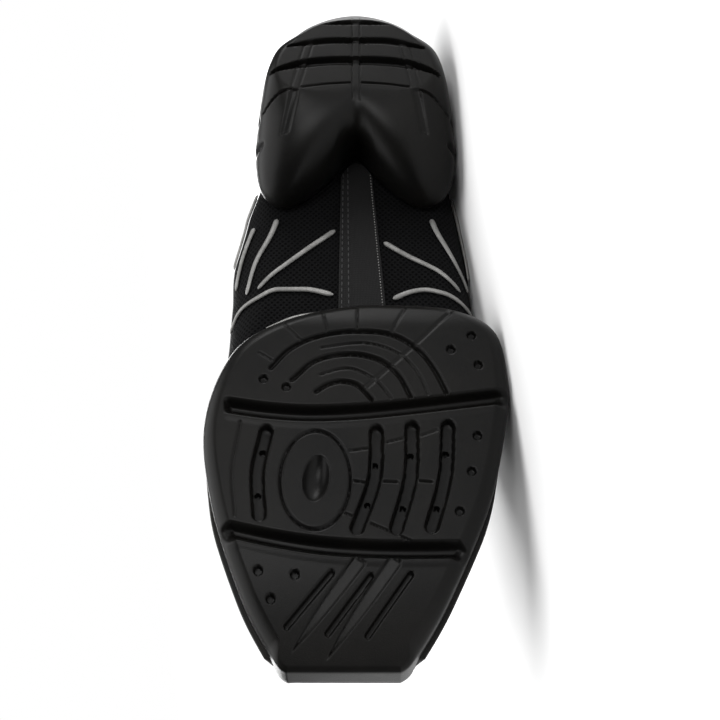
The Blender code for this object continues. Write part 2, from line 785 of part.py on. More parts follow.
def build_lace_bar(name, along, finish):
    """A flat bar of lace straight across the throat, its ends between the two rings' holes and rims."""
    left, right = turn_of(along, MEDIAL), turn_of(along, LATERAL)
    lift = OVERLAY_THICKNESS + 3 * GAP
    stand = EYELET_HEIGHT + GAP
    path = [
        lifted(left, EYELET_LEVEL + 0.012, lift + stand),
        lifted(left, 0.965, lift + stand * 0.95),
        lifted(left, 1.0, lift + stand * 0.5),
        lifted(right, 1.0, lift + stand * 0.5),
        lifted(right, 0.965, lift + stand * 0.95),
        lifted(right, EYELET_LEVEL + 0.012, lift + stand),
    ]
    ahead = (skin(left + 0.01, 1.0) - skin(left - 0.01, 1.0)).normalized()
    ahead.y = 0
    outer, inner = [], []
    for k, p in enumerate(path):
        along_path = (path[min(k + 1, 5)] - path[max(k - 1, 0)]).normalized()
        normal = ahead.cross(along_path).normalized()
        if normal.z < 0:
            normal = -normal
        sides = [p + ahead * (LACE_WIDTH * s) for s in (-0.5, 0.5)]
        inner.append(sides)
        outer.append([q + normal * LACE_THICKNESS for q in sides])
    return sheet(name, outer, inner, finish)


def with_front(outline, x):
    """The outline with a point on each side exactly where it passes that distance from the heel."""
    points = [tuple(p) for p in outline]
    for k, (p, q) in enumerate(zip(outline, np.roll(outline, -1, 0), strict=True)):
        if (p[0] - x) * (q[0] - x) < 0:
            share = (x - p[0]) / (q[0] - p[0])
            passing = tuple(p + (q - p) * share)
            points[k if share < 0.5 else (k + 1) % len(points)] = passing
    return np.array(points)


def build_forefoot(last, outsole_finish, midsole_finish):
    """The forefoot unit: an outsole with a tread and a toe platform, and a midsole that cups the upper."""
    given = [(a * LENGTH, min(max(b * BALL_WIDTH, -BALL_WIDTH), BALL_WIDTH)) for a, b in FOREFOOT]
    outline = with_front(closed_curve(given, 62), LENGTH - PLATFORM_DEPTH)
    outline[:, 0] = np.minimum(outline[:, 0], LENGTH)
    centre = np.array([0.74 * LENGTH, 0.0007])
    front = LENGTH - PLATFORM_DEPTH

    def ground(x, y):
        return ground_height(x)

    def parting(x, y):
        return parting_height(x)

    loops = [[Vector((*centre, 0.0))]]
    tread = inset(outline, EDGE_ROUNDING)
    for share in (0.45, 0.8, 1.0):
        loops.append(at_heights(towards(tread, centre, share), ground))
    for angle in (35, 75):
        turned = math.radians(angle)
        edge = inset(outline, EDGE_ROUNDING * (1 - math.sin(turned)))
        rise = EDGE_ROUNDING * 0.9 * (1 - math.cos(turned))
        loops.append([Vector((x, y, ground_height(x) + rise)) for x, y in edge])
    behind = outline.copy()
    behind[:, 0] = np.minimum(outline[:, 0], front)
    platform = [eased((x - front) / (PLATFORM_DEPTH * 0.6)) for x, _ in outline]
    tops = [
        parting_height(x) + (PLATFORM_HEIGHT - parting_height(x)) * share
        for (x, _), share in zip(outline, platform, strict=True)
    ]
    loops.append([Vector((x, y, z)) for (x, y), z in zip(outline, tops, strict=True)])
    loops.append([Vector((x, y, z)) for (x, y), z in zip(behind, tops, strict=True)])
    loops.append(at_heights(behind, parting))
    loops.append(at_heights(towards(behind, centre, 0.55), parting))
    loops.append([Vector((*centre, parting_height(centre[0])))])
    outsole = rings("outsole_forefoot", loops, outsole_finish)

    flare = np.array([MIDSOLE_FLARE * eased((x / LENGTH - 0.72) / 0.12) for x, _ in outline])
    wide = outline - (inset(outline, 1.0) - outline) * flare[:, None]

    def lip(x, y):
        return seat_height(x) + CUP_LIP

    def under(x, y):
        return parting_height(x) + GAP

    def kept_back(plan):
        plan = plan.copy()
        plan[:, 0] = np.minimum(plan[:, 0], front - GAP)
        return plan

    loops = [[Vector((*centre, under(*centre)))]]
    loops.append(at_heights(towards(kept_back(outline), centre, 0.55), under))
    loops.append(at_heights(kept_back(wide), under))
    low, high = loops[-1], at_heights(kept_back(inset(outline, 0.0012)), lip)
    loops.append([a.lerp(b, 0.5) for a, b in zip(low, high, strict=True)])
    loops.append(high)
    inner = kept_back(inset(outline, 0.009))
    for share in (1.0, 0.5):
        loops.append(at_heights(towards(inner, centre, share), lip))
    loops.append([Vector((*centre, lip(*centre)))])
    midsole = rings("midsole_forefoot", loops, midsole_finish)
    cut(midsole, last)

    def across(rows, reach=0.06):
        rows = np.array(rows) * (LENGTH, BALL_WIDTH)
        first, last = rows[0] - rows[1], rows[-1] - rows[-2]
        start = rows[0] + first / np.linalg.norm(first) * reach * 0.4
        end = rows[-1] + last / np.linalg.norm(last) * reach * 0.4
        table = [(k, *row) for k, row in enumerate([start, *rows, end])]
        return [row_at(table, k / 4) for k in range(4 * (len(table) - 1) + 1)]

    for name, rows in FOREFOOT_GROOVES:
        channel(outsole, name, across(rows), GROOVE_WIDTH, GROOVE_DEPTH, ground, taper=0.0012)
    for name, width, rows in FOREFOOT_SLOTS:
        rows = np.array(rows) * (LENGTH, BALL_WIDTH)
        channel(outsole, name, rows, width, SLOT_DEPTH, ground)
    dish = [(SPIN_SPOT[0] * LENGTH, SPIN_SPOT[1] * BALL_WIDTH)]
    spot = [(dish[0][0] - 0.006, dish[0][1] - 0.0005), (dish[0][0] + 0.006, dish[0][1] + 0.0005)]
    channel(outsole, "spin_dish", spot, 0.0088, SLOT_DEPTH * 0.6, ground)
    return outsole, midsole


# Two deep grooves across the forefoot, and its slots, as shares of the length and the ball width


def build_heel(last, finish):
    """The heel unit: a small tread, bulging sides, two lobes under the arch and a cup for the upper."""
    centre = np.array([HEEL_CENTRE * LENGTH, 0.0005])
    widest = closed_curve([(a * LENGTH, b * HEEL_WIDTH) for a, b in HEEL], 400)
    small = closed_curve([(a * LENGTH, b * HEEL_WIDTH) for a, b in HEEL_TREAD], 400)
    plan = closed_curve([(a * LENGTH, b * HEEL_WIDTH) for a, b in HEEL], 60)
    spokes = np.arctan2(*(plan - centre).T[::-1])

    def reach(outline, angle):
        """How far the outline lies from the centre in that direction."""
        offset = outline - centre
        angles = np.arctan2(offset[:, 1], offset[:, 0])
        order = np.argsort(angles)
        return np.interp(angle, angles[order], np.hypot(*offset[order].T), period=math.tau)

    def softened(outline, angle):
        """The reach averaged over the neighbouring directions, which rounds off notches and corners."""
        total, weights = 0.0, 0.0
        for step in range(-6, 7):
            weight = math.exp(-((step * 5 / 14) ** 2) / 2)
            total = total + weight * reach(outline, angle + math.radians(step * 5))
            weights += weight
        return total / weights

    def bevel(angle):
        """How far the profile is a straight bevel in that direction: only at the back."""
        return HEEL_BACK_BEVEL * eased((-math.cos(angle) - 0.35) / 0.45)

    far, near, full = reach(widest, spokes), reach(small, spokes), softened(widest, spokes)
    straight = [bevel(angle) for angle in spokes]
    aim = np.stack([np.cos(spokes), np.sin(spokes)], axis=1)

    def bulge_height(x):
        return HEEL_BULGE_BACK + (HEEL_BULGE_FRONT - HEEL_BULGE_BACK) * x / (0.31 * LENGTH)

    def surface(x, y):
        """Height of the heel's underside."""
        offset = np.array([x, y]) - centre
        angle, distance = math.atan2(offset[1], offset[0]), math.hypot(*offset)
        first, last = float(reach(small, angle)), float(reach(widest, angle))
        share = min(max((distance - first) / (last - first), 0.0), 0.999)
        curved = 1 - math.sqrt(1 - share * share)
        return bulge_height(x) * (curved + (share - curved) * bevel(angle))

    loops = [[Vector((*centre, 0.0))]]
    for share in (0.6, 1.0):
        loops.append(at_heights(centre + aim * (near * share)[:, None], 0.0))
    for angle in (22, 42, 60, 76, 90):
        turned = math.radians(angle)
        true = math.sin(turned) ** 4
        edge = centre + aim * (near + (full + (far - full) * true - near) * math.sin(turned))[:, None]
        curved, slanted = 1 - math.cos(turned), math.sin(turned)
        rises = [curved + (slanted - curved) * share for share in straight]
        heights = [bulge_height(x) * rise for (x, _), rise in zip(edge, rises, strict=True)]
        loops.append([Vector((x, y, z)) for (x, y), z in zip(edge, heights, strict=True)])

    def lip(x, y):
        return seat_height(x) + CUP_LIP * 0.9 * (1 - eased((x / LENGTH - 0.17) / 0.11))

    for distance, share in ((0.0004, 0.55), (0.0012, 1.0)):
        edge = inset(plan, distance)
        heights = [bulge_height(x) + (lip(x, y) - bulge_height(x)) * share for x, y in edge]
        loops.append([Vector((x, y, z)) for (x, y), z in zip(edge, heights, strict=True)])
    inner = inset(plan, 0.009)
    for share in (1.0, 0.5):
        loops.append(at_heights(towards(inner, centre, share), lip))
    loops.append([Vector((*centre, lip(*centre)))])
    heel = rings("heel", loops, finish)
    cut(heel, last)
    for name, width, depth, rows in HEEL_GROOVES:
        rows = np.array(rows) * (LENGTH, HEEL_WIDTH)
        channel(heel, name, rows, width, depth, surface)
    return heel


def resting_turn(objects, weights):
    """The turn that lays the shoe on its outer side, on the face of its hull below its balance point."""
    graph = bpy.context.evaluated_depsgraph_get()
    points, moment, mass = [], Vector(), 0.0
    for made in objects:
        shape = made.evaluated_get(graph).to_mesh()
        shape.calc_loop_triangles()
        corners = np.array([v.co[:] for v in shape.vertices])
        points.extend(Vector(c) for c in corners)
        a, b, c = (corners[[t.vertices[k] for t in shape.loop_triangles]] for k in range(3))
        volumes = np.einsum("ij,ij->i", a, np.cross(b, c)) / 6 * weights[made.data.materials[0].name]
        moment += Vector(((a + b + c) / 4 * volumes[:, None]).sum(axis=0))
        mass += volumes.sum()
    balance = moment / mass
    hull = bmesh.new()
    for point in points:
        hull.verts.new(point)
    bmesh.ops.convex_hull(hull, input=hull.verts)
    faces = BVHTree.FromBMesh(hull)
    down = Vector((0, -1, 0))
    for _ in range(12):
        normal = faces.ray_cast(balance, down)[1]
        if normal.dot(down) < 0:
            normal = -normal
        if (normal - down).length < 1e-6:
            break
        down = normal
    hull.free()
    up = -down
    toe = Vector((1, 0, 0))
    toe = (toe - up * toe.dot(up)).normalized()
    side = up.cross(-toe)
    return Matrix((-toe, side, up)).to_4x4(), balance


def main():
    for old in list(bpy.data.objects):
        bpy.data.objects.remove(old, do_unlink=True)

    rubber = material("sole_rubber", (0.022, 0.022, 0.024), 0.48)
    midsole_rubber = material("midsole_rubber", (0.020, 0.020, 0.022), 0.55)
    cloth = material("upper_mesh", (0.020, 0.020, 0.022), 0.9)
    trim = material("overlay", (0.024, 0.023, 0.024), 0.6)
    woven = material("woven_band", (0.030, 0.029, 0.030), 0.8)
    silver = material("silver_piping", (0.42, 0.42, 0.43), 0.4)
    lining = material("lining_cloth", (0.028, 0.028, 0.030), 0.95)
    eyelet = material("eyelet_ring", (0.05, 0.05, 0.052), 0.4)
    lace = material("lace", (0.018, 0.018, 0.018), 0.85)
    weights = {
        "sole_rubber": 1.2,
        "midsole_rubber": 1.2,
        "upper_mesh": 0.5,
        "overlay": 0.9,
        "woven_band": 0.5,
        "silver_piping": 1.1,
        "lining_cloth": 0.3,
        "eyelet_ring": 1.1,
        "lace": 0.3,
    }

    last = build_last()
    pieces = [build_upper(cloth), *build_forefoot(last, rubber, midsole_rubber), build_heel(last, rubber)]
    pieces += [build_insole(lining), build_tongue(lining), build_collar(lining)]

    toe_turns = columns_between(0.85, 1.15)
    pieces.append(
        patch(
            "toe_cap",
            toe_turns,
            lambda turn: np.linspace(over_lip(turn, 0.0035), 0.80, 5),
            GAP,
            GAP + OVERLAY_THICKNESS,
            trim,
        )
    )
    counter_turns = columns_between(-0.105, 0.105)
    pieces.append(
        patch(
            "heel_counter",
            counter_turns,
            lambda turn: np.linspace(over_lip(turn, 0.0015), 0.86 - 0.5 * abs(turn), 5),
            GAP,
            GAP + OVERLAY_THICKNESS,
            trim,
        )
    )
    for name, side in (("medial", MEDIAL), ("lateral", LATERAL)):
        turns = columns_between(*sorted(turn_of(along, side) for along in EYESTAY_SPAN))
        stay = patch(f"eyestay_{name}", turns, (0.82, 0.865, 0.91, 0.985), GAP, GAP + OVERLAY_THICKNESS, trim)
        pieces.append(stay)
    for k in range(EYELET_PAIRS):
        along = EYELET_SPAN[0] + (EYELET_SPAN[1] - EYELET_SPAN[0]) * k / (EYELET_PAIRS - 1)
        for name, side in (("medial", MEDIAL), ("lateral", LATERAL)):
            pieces.append(build_eyelet(f"eyelet_{name}_{k + 1}", turn_of(along, side), EYELET_LEVEL, eyelet))
        pieces.append(build_lace_bar(f"lace_bar_{k + 1}", along, lace))

    band_outer, band_inner = [], []
    for share in np.linspace(0, 1, 13):
        left, right = BAND_WIDTH * (0.36 + 0.03 * share), -BAND_WIDTH * (0.36 + 0.30 * share)
        across = []
        for j in range(7):
            start = BAND_ENDS[0] + BAND_END_ROUNDING * (j / 3 - 1) ** 2
            x = LENGTH * (start + share * (BAND_ENDS[1] - start))
            across.append(Vector((x, left + (right - left) * j / 6, seat_height(x) - SEAT_GAP)))
        band_inner.append(across)
        band_outer.append([q - Vector((0, 0, BAND_THICKNESS)) for q in across])
    pieces.append(sheet("arch_band", band_outer, band_inner, woven))
    for name, side, ribs in (("medial", MEDIAL, RIBS_MEDIAL), ("lateral", LATERAL, RIBS_LATERAL)):
        for k, rows in enumerate(ribs):
            rib = strip_on_skin(f"piping_{name}_{k + 1}", (side, rows), PIPING_WIDTH, PIPING_HEIGHT, silver)
            pieces.append(rib)

    bpy.context.view_layer.update()
    turn, _ = resting_turn(pieces, weights)
    graph = bpy.context.evaluated_depsgraph_get()
    corners = []
    for made in pieces:
        shape = made.evaluated_get(graph).to_mesh()
        corners += [turn @ v.co for v in shape.vertices]
    low = Vector([min(c[k] for c in corners) for k in range(3)])
    high = Vector([max(c[k] for c in corners) for k in range(3)])
    lying = bpy.data.objects.new("lying", None)
    bpy.context.scene.collection.objects.link(lying)
    middle = Vector(((low.x + high.x) / 2, (low.y + high.y) / 2, low.z))
    lying.matrix_world = Matrix.Translation(-middle) @ turn
    for made in bpy.data.objects:
        if made is not lying:
            made.parent = lying


main()
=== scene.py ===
import json
import math

import bmesh
import bpy
import numpy as np
from mathutils import Matrix, Vector


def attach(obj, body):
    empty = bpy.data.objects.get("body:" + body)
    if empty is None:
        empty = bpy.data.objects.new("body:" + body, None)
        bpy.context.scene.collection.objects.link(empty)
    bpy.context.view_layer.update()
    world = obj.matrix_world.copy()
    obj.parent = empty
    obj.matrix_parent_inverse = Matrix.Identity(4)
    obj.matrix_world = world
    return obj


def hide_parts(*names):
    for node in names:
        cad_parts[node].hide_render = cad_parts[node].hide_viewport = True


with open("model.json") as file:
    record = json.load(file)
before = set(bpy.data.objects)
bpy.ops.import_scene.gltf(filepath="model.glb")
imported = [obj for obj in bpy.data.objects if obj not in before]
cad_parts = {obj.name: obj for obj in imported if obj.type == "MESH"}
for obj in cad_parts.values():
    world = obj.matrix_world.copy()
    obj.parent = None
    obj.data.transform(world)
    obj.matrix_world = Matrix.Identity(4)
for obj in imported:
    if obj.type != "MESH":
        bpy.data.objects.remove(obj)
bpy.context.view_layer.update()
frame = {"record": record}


# How the shoe lies. It is drawn standing, in metres: x runs from the back of the heel to the toe, y towards
# the inner side and z up from the ground. The two flat spots that it stands on, known from the record, turn
# each piece over onto the shoe's outer side.
HEEL_SPOT_AHEAD = 0.0415
HEEL_SPOT_INWARD = 0.008
mounts = {mount["name"]: mount for mount in frame["record"]["mounts"]}
heel_spot = np.array(mounts["heel_ground"]["pos_m"])
ball_spot = np.array(mounts["forefoot_ground"]["pos_m"])
shoe_up = -np.array(mounts["heel_ground"]["axis"])
shoe_up /= np.linalg.norm(shoe_up)
shoe_ahead = (ball_spot - heel_spot) / np.linalg.norm(ball_spot - heel_spot)
shoe_inner = np.cross(shoe_up, shoe_ahead)
shoe_origin = heel_spot - HEEL_SPOT_AHEAD * shoe_ahead - HEEL_SPOT_INWARD * shoe_inner


def turned(vectors):
    vectors = np.asarray(vectors, float)
    return vectors[..., :1] * shoe_ahead + vectors[..., 1:2] * shoe_inner + vectors[..., 2:3] * shoe_up


def laid(points):
    return turned(points) + shoe_origin


# Upper: one lasted shell of black spacer mesh, knitted with open cells over a thin backing. It is cut to a
# pattern, pulled over the last and glued under the insole board, and stays open at the collar and throat
# and underneath, where the soles close it.
LENGTH = 0.264
HEEL_HEIGHT = 0.031
BALL_HEIGHT = 0.017
TOE_SPRING = 0.009
SPRING_START = 0.80
UPPER_BALL_WIDTH = 0.095
UPPER_HEEL_WIDTH = 0.067
INSTEP_HEIGHT = 0.071
TOE_ROOM = 0.0255
TOE_SWING = 0.0032
WIDENING_START = 0.2
WIDENING_RUN = 0.4
WALL = 0.002
CELL_LENGTH = 0.00120
CELL_WIDTH = 0.00108
YARN_BLACK = (0.0022, 0.0022, 0.0024)
FUZZ_BLACK = (0.0045, 0.0045, 0.0048)
# The open cells' colour: partly the backing seen through them, partly painted shade in the holes
BACKING_AND_SHADE_BLACK = (0.0005, 0.0005, 0.0006)
LINING_BLACK = (0.020, 0.020, 0.022)
YARN_TWIST = 14000.0
MEDIAL, LATERAL = 1.0, -1.0

# Height of the underside above the ground, from 0 at the ball to 1 at the heel seat
SEAT_RISE = (
    (0.0, 1.0),
    (0.22, 1.0),
    (0.30, 0.90),
    (0.38, 0.62),
    (0.46, 0.36),
    (0.55, 0.14),
    (0.66, 0.0),
    (1.0, 0.0),
)
# Where the bottom turns up: place from heel to toe, inner and outer half widths as shares of the local width
FEATHER_ENDS = (0.036, 0.958)
FEATHER_ROUNDING = (0.14, 0.17)
FEATHER = (
    (0.00, 0.43, 0.43),
    (0.15, 0.44, 0.43),
    (0.25, 0.42, 0.41),
    (0.35, 0.34, 0.353),
    (0.45, 0.335, 0.358),
    (0.55, 0.394, 0.405),
    (0.70, 0.463, 0.463),
    (0.85, 0.418, 0.350),
    (1.00, 0.350, 0.240),
)
# The same at the widest line, with its height as a share of the way up to the top line
WIDEST_ENDS = (0.017, 0.979)
WIDEST_ROUNDING = (0.13, 0.16)
WIDEST = (
    (0.00, 0.500, 0.500, 0.28),
    (0.13, 0.507, 0.493, 0.29),
    (0.24, 0.550, 0.520, 0.30),
    (0.30, 0.580, 0.533, 0.30),
    (0.37, 0.580, 0.522, 0.28),
    (0.45, 0.532, 0.491, 0.27),
    (0.55, 0.496, 0.485, 0.26),
    (0.70, 0.500, 0.495, 0.29),
    (0.85, 0.452, 0.388, 0.33),
    (1.00, 0.375, 0.272, 0.37),
)
# The top line: half widths, height as a share of the instep's, and how round the side bends in to it
TOP_ENDS = (0.030, 0.894)
TOP_ROUNDING = 0.13
TOP = (
    (0.000, 0.345, 0.345, 0.860, 0.85),
    (0.100, 0.370, 0.370, 0.775, 0.85),
    (0.200, 0.385, 0.385, 0.640, 0.85),
    (0.300, 0.375, 0.375, 0.690, 0.82),
    (0.380, 0.325, 0.325, 0.860, 0.78),
    (0.430, 0.240, 0.240, 0.990, 0.72),
    (0.480, 0.165, 0.165, 0.990, 0.66),
    (0.600, 0.128, 0.128, 0.848, 0.60),
    (0.680, 0.110, 0.110, 0.746, 0.55),
    (0.705, 0.000, 0.000, 0.712, 0.52),
    (0.770, 0.000, 0.000, 0.620, 0.50),
    (0.880, 0.000, 0.000, 0.499, 0.50),
    (1.000, 0.000, 0.000, 0.359, 0.50),
)
THROAT_END = 0.705
THROAT_ROUNDING = 0.045
T_FEATHER = 0.25
T_WIDEST = 0.5
LASTING_MARGIN = 0.16
FOREFOOT_OPEN = (0.60, 0.93)
HEEL_OPEN = (0.07, 0.20)
HALF_COLUMNS = 211
END_EASE = 0.15


def eased(share):
    share = np.clip(share, 0.0, 1.0)
    return share * share * (3 - 2 * share)


def curve(table, at):
    """The table's other columns at a place in its first one, on a smooth curve that doesn't overshoot."""
    rows = np.array(table, float)
    place, values = rows[:, 0], rows[:, 1:]
    at = np.clip(np.asarray(at, float), place[0], place[-1])
    step = np.diff(values, axis=0) / np.diff(place)[:, None]
    slope = np.vstack([step[:1], (step[1:] + step[:-1]) / 2, step[-1:]])
    slope[1:-1][step[1:] * step[:-1] <= 0] = 0.0
    k = np.clip(np.searchsorted(place, at, side="right") - 1, 0, len(place) - 2)
    width = (place[k + 1] - place[k])[..., None]
    u = (at - place[k])[..., None] / width
    return (
        values[k] * (2 * u**3 - 3 * u**2 + 1)
        + values[k + 1] * (3 * u**2 - 2 * u**3)
        + slope[k] * width * (u**3 - 2 * u**2 + u)
        + slope[k + 1] * width * (u**3 - u**2)
    )


def end_rounding(share):
    return np.sqrt(np.maximum(0.0, 1 - (1 - np.clip(share, 0.0, 1.0)) ** 2))


def both_rounded(along, heel_and_toe):
    return end_rounding(along / heel_and_toe[0]), end_rounding((1 - along) / heel_and_toe[1])


def seat_height(x):
    spring = np.maximum(0.0, (x / LENGTH - SPRING_START) / (1 - SPRING_START))
    rise = curve(SEAT_RISE, x / LENGTH)[..., 0]
    return BALL_HEIGHT + rise * (HEEL_HEIGHT - BALL_HEIGHT) + TOE_SPRING * spring**1.5


def along_of(turn):
    """The place from heel to toe of a turn round the shoe: 0 and 2 are the heel's back, 1 the toe's tip."""
    back = np.abs((np.asarray(turn, float) + 1) % 2 - 1)
    middle = (back - END_EASE / 2) / (1 - END_EASE)
    middle = np.where(back < END_EASE, back * back / (2 * END_EASE) / (1 - END_EASE), middle)
    return np.where(back > 1 - END_EASE, 1 - (1 - back) ** 2 / (2 * END_EASE) / (1 - END_EASE), middle)


def turn_of(along, side):
    ladder = np.linspace(0, 1, 4001)
    turn = np.interp(along, along_of(ladder), ladder)
    return turn if side == MEDIAL else 2 - turn


def local_width(along):
    widened = eased((along - WIDENING_START) / WIDENING_RUN)
    return UPPER_HEEL_WIDTH + (UPPER_BALL_WIDTH - UPPER_HEEL_WIDTH) * widened


def side_of(turn):
    return np.where(np.asarray(turn) % 2 <= 1, MEDIAL, LATERAL)


def feather_line(turn):
    along, side = along_of(turn), side_of(turn)
    row = curve(FEATHER, along)
    half = np.where(side > 0, row[..., 0], row[..., 1]) * local_width(along)
    heel_end, toe_end = both_rounded(along, FEATHER_ROUNDING)
    half = half * heel_end * toe_end
    x = LENGTH * (FEATHER_ENDS[0] + along * (FEATHER_ENDS[1] - FEATHER_ENDS[0]))
    return np.stack([x, side * half, seat_height(x)], axis=-1)


def top_line(turn):
    along, side = along_of(turn), side_of(turn)
    row = curve(TOP, along)
    half = row[..., 0] * local_width(along) * end_rounding(along / TOP_ROUNDING)
    start = THROAT_END - THROAT_ROUNDING
    closing = curve(TOP, start)[0] * local_width(along) * end_rounding((THROAT_END - along) / THROAT_ROUNDING)
    half = np.where(along > start, closing, half)
    x = LENGTH * (TOP_ENDS[0] + along * (TOP_ENDS[1] - TOP_ENDS[0]))
    toe = eased((along - THROAT_END) / (1 - THROAT_END))
    rise = row[..., 2] * INSTEP_HEIGHT * (1 - toe) + toe * TOE_ROOM
    y = side * half + TOE_SWING * eased((along - 0.5) / 0.5)
    return np.stack([x, y, seat_height(x) + rise], axis=-1)


def widest_line(turn):
    along, side = along_of(turn), side_of(turn)
    row = curve(WIDEST, along)
    half = np.where(side > 0, row[..., 0], row[..., 1]) * local_width(along)
    heel_end, toe_end = both_rounded(along, WIDEST_ROUNDING)
    half = half * heel_end * toe_end
    x = LENGTH * (WIDEST_ENDS[0] + along * (WIDEST_ENDS[1] - WIDEST_ENDS[0]))
    floor = seat_height(x)
    return np.stack([x, side * half, floor + row[..., 2] * (top_line(turn)[..., 2] - floor)], axis=-1)


def skin(turn, t):
    """A point of the upper's outer face, at a turn round the shoe and a height t from the bottom's middle."""
    turn, t = np.broadcast_arrays(np.asarray(turn, float), np.asarray(t, float))
    feather, widest, top = feather_line(turn), widest_line(turn), top_line(turn)
    share = (np.minimum(t, T_FEATHER) / T_FEATHER)[..., None]
    bottom = feather * np.concatenate([np.ones_like(share), share, np.ones_like(share)], axis=-1)
    angle = np.clip((t - T_FEATHER) / (T_WIDEST - T_FEATHER), 0, 1) * math.pi / 2
    plan = feather + (widest - feather) * np.sin(angle)[..., None]
    plan[..., 2] = feather[..., 2] + (widest[..., 2] - feather[..., 2]) * (1 - np.cos(angle))
    rise = np.sin(np.clip((t - T_WIDEST) / (1 - T_WIDEST), 0, 1) * math.pi / 2)
    bend = np.maximum(0.0, 1 - rise * rise) ** curve(TOP, along_of(turn))[..., 3]
    side = top + (widest - top) * bend[..., None]
    side[..., 2] = widest[..., 2] + (top[..., 2] - widest[..., 2]) * rise
    t = t[..., None]
    return np.where(t <= T_FEATHER, bottom, np.where(t <= T_WIDEST, plan, side))


def unit(vectors):
    return vectors / np.maximum(np.linalg.norm(vectors, axis=-1, keepdims=True), 1e-12)


def skin_normal(turn, t):
    turn, t = np.broadcast_arrays(np.asarray(turn, float), np.asarray(t, float))
    step = 0.004
    ahead = skin(turn + step, t) - skin(turn - step, t)
    up = skin(turn, np.minimum(t + step, 1.0)) - skin(turn, np.maximum(t - step, 0.0))
    side = -np.cross(ahead, up)
    x = skin(turn, t)[..., 0]
    slope = (seat_height(x + 0.001) - seat_height(x - 0.001)) / 0.002
    below = np.stack([slope, np.zeros_like(slope), -np.ones_like(slope)], axis=-1)
    return unit(np.where((t < T_FEATHER - step)[..., None], below, side))


def lifted(turn, t, height):
    return skin(turn, t) + skin_normal(turn, t) * np.asarray(height, float)[..., None]


def run_along(points):
    """The length run at each point of a line, from its first one."""
    return np.concatenate([[0.0], np.cumsum(np.linalg.norm(np.diff(points, axis=0), axis=1))])


def sheet_measures(face):
    """The run and rise of each point over a grid of points, and its distance to the nearest edge."""
    run = np.linalg.norm(np.diff(face, axis=0), axis=2).cumsum(axis=0)
    run = np.concatenate([np.zeros((1, face.shape[1])), run])
    rise = np.linalg.norm(np.diff(face, axis=1), axis=2).cumsum(axis=1)
    rise = np.concatenate([np.zeros((len(face), 1)), rise], axis=1)
    return run, rise, np.minimum(np.minimum(run, run[-1:] - run), np.minimum(rise, rise[:, -1:] - rise))


def grid_faces(rows, columns, wrap=False):
    """The quads of a grid of points, its second way closed round where wrap is true."""
    i, j = np.meshgrid(np.arange(rows - 1), np.arange(columns if wrap else columns - 1), indexing="ij")
    a, b = i * columns + j, i * columns + (j + 1) % columns
    return np.stack([a, b, b + columns, a + columns], axis=-1).reshape(-1, 4)


def made(name, points, faces, finishes, uv=None, sharp=38, merge=1e-6):
    """A finished mesh object from points of the standing shoe, doubles merged and faces turned outwards."""
    mesh = bpy.data.meshes.new(name)
    mesh.from_pydata(laid(points).reshape(-1, 3).tolist(), [], [list(map(int, face)) for face in faces])
    if uv is not None:
        layer = mesh.uv_layers.new(name="UVMap")
        corner = np.empty(len(mesh.loops), np.int32)
        mesh.loops.foreach_get("vertex_index", corner)
        layer.data.foreach_set("uv", np.asarray(uv, np.float32).reshape(-1, 2)[corner].ravel())
    work = bmesh.new()
    work.from_mesh(mesh)
    bmesh.ops.remove_doubles(work, verts=work.verts, dist=merge)
    bmesh.ops.dissolve_degenerate(work, edges=work.edges, dist=merge)
    bmesh.ops.delete(work, geom=[v for v in work.verts if not v.link_faces], context="VERTS")
    bmesh.ops.recalc_face_normals(work, faces=work.faces)
    work.to_mesh(mesh)
    work.free()
    count = len(mesh.polygons)
    centres, normals, areas = np.empty(count * 3), np.empty(count * 3), np.empty(count)
    mesh.polygons.foreach_get("center", centres)
    mesh.polygons.foreach_get("normal", normals)
    mesh.polygons.foreach_get("area", areas)
    centres = centres.reshape(-1, 3) - (centres.reshape(-1, 3) * areas[:, None]).sum(0) / areas.sum()
    if (np.einsum("ij,ij->i", centres, normals.reshape(-1, 3)) * areas).sum() < 0:
        mesh.flip_normals()
    for finish in finishes if isinstance(finishes, (list, tuple)) else [finishes]:
        mesh.materials.append(finish)
    mesh.shade_smooth()
    mesh.set_sharp_from_angle(angle=math.radians(sharp))
    piece = bpy.data.objects.new(name, mesh)
    bpy.context.scene.collection.objects.link(piece)
    return piece


def settle(piece, slot, *nodes):
    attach(piece, "root")
    if nodes:
        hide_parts(*nodes)


def put(tree, kind, inputs=None, **settings):
    """A new node with its settings and inputs; an input is a value or another node's output."""
    node = tree.nodes.new(kind)
    for name, value in settings.items():
        setattr(node, name, value)
    for key, value in (inputs or {}).items():
        if isinstance(value, bpy.types.NodeSocket):
            tree.links.new(value, node.inputs[key])
        else:
            node.inputs[key].default_value = value
    return node


def maths(tree, operation, first, second=0.0, third=0.0):
    return put(tree, "ShaderNodeMath", {0: first, 1: second, 2: third}, operation=operation).outputs[0]


def between(tree, value, low, high, to_low=0.0, to_high=1.0):
    """The value mapped smoothly from one span to another."""
    inputs = {"Value": value, "From Min": low, "From Max": high, "To Min": to_low, "To Max": to_high}
    return put(tree, "ShaderNodeMapRange", inputs, interpolation_type="SMOOTHSTEP").outputs["Result"]


def blend_colours(tree, share, first, second):
    inputs = {0: share, 6: first, 7: second}
    for key in (6, 7):
        if isinstance(inputs[key], tuple):
            inputs[key] = (*inputs[key][:3], 1.0)
    return put(tree, "ShaderNodeMix", inputs, data_type="RGBA").outputs[2]


def noise(tree, where, scale, detail=3.0, roughness=0.5):
    inputs = {"Vector": where, "Scale": scale, "Detail": detail, "Roughness": roughness}
    return put(tree, "ShaderNodeTexNoise", inputs).outputs["Fac"]


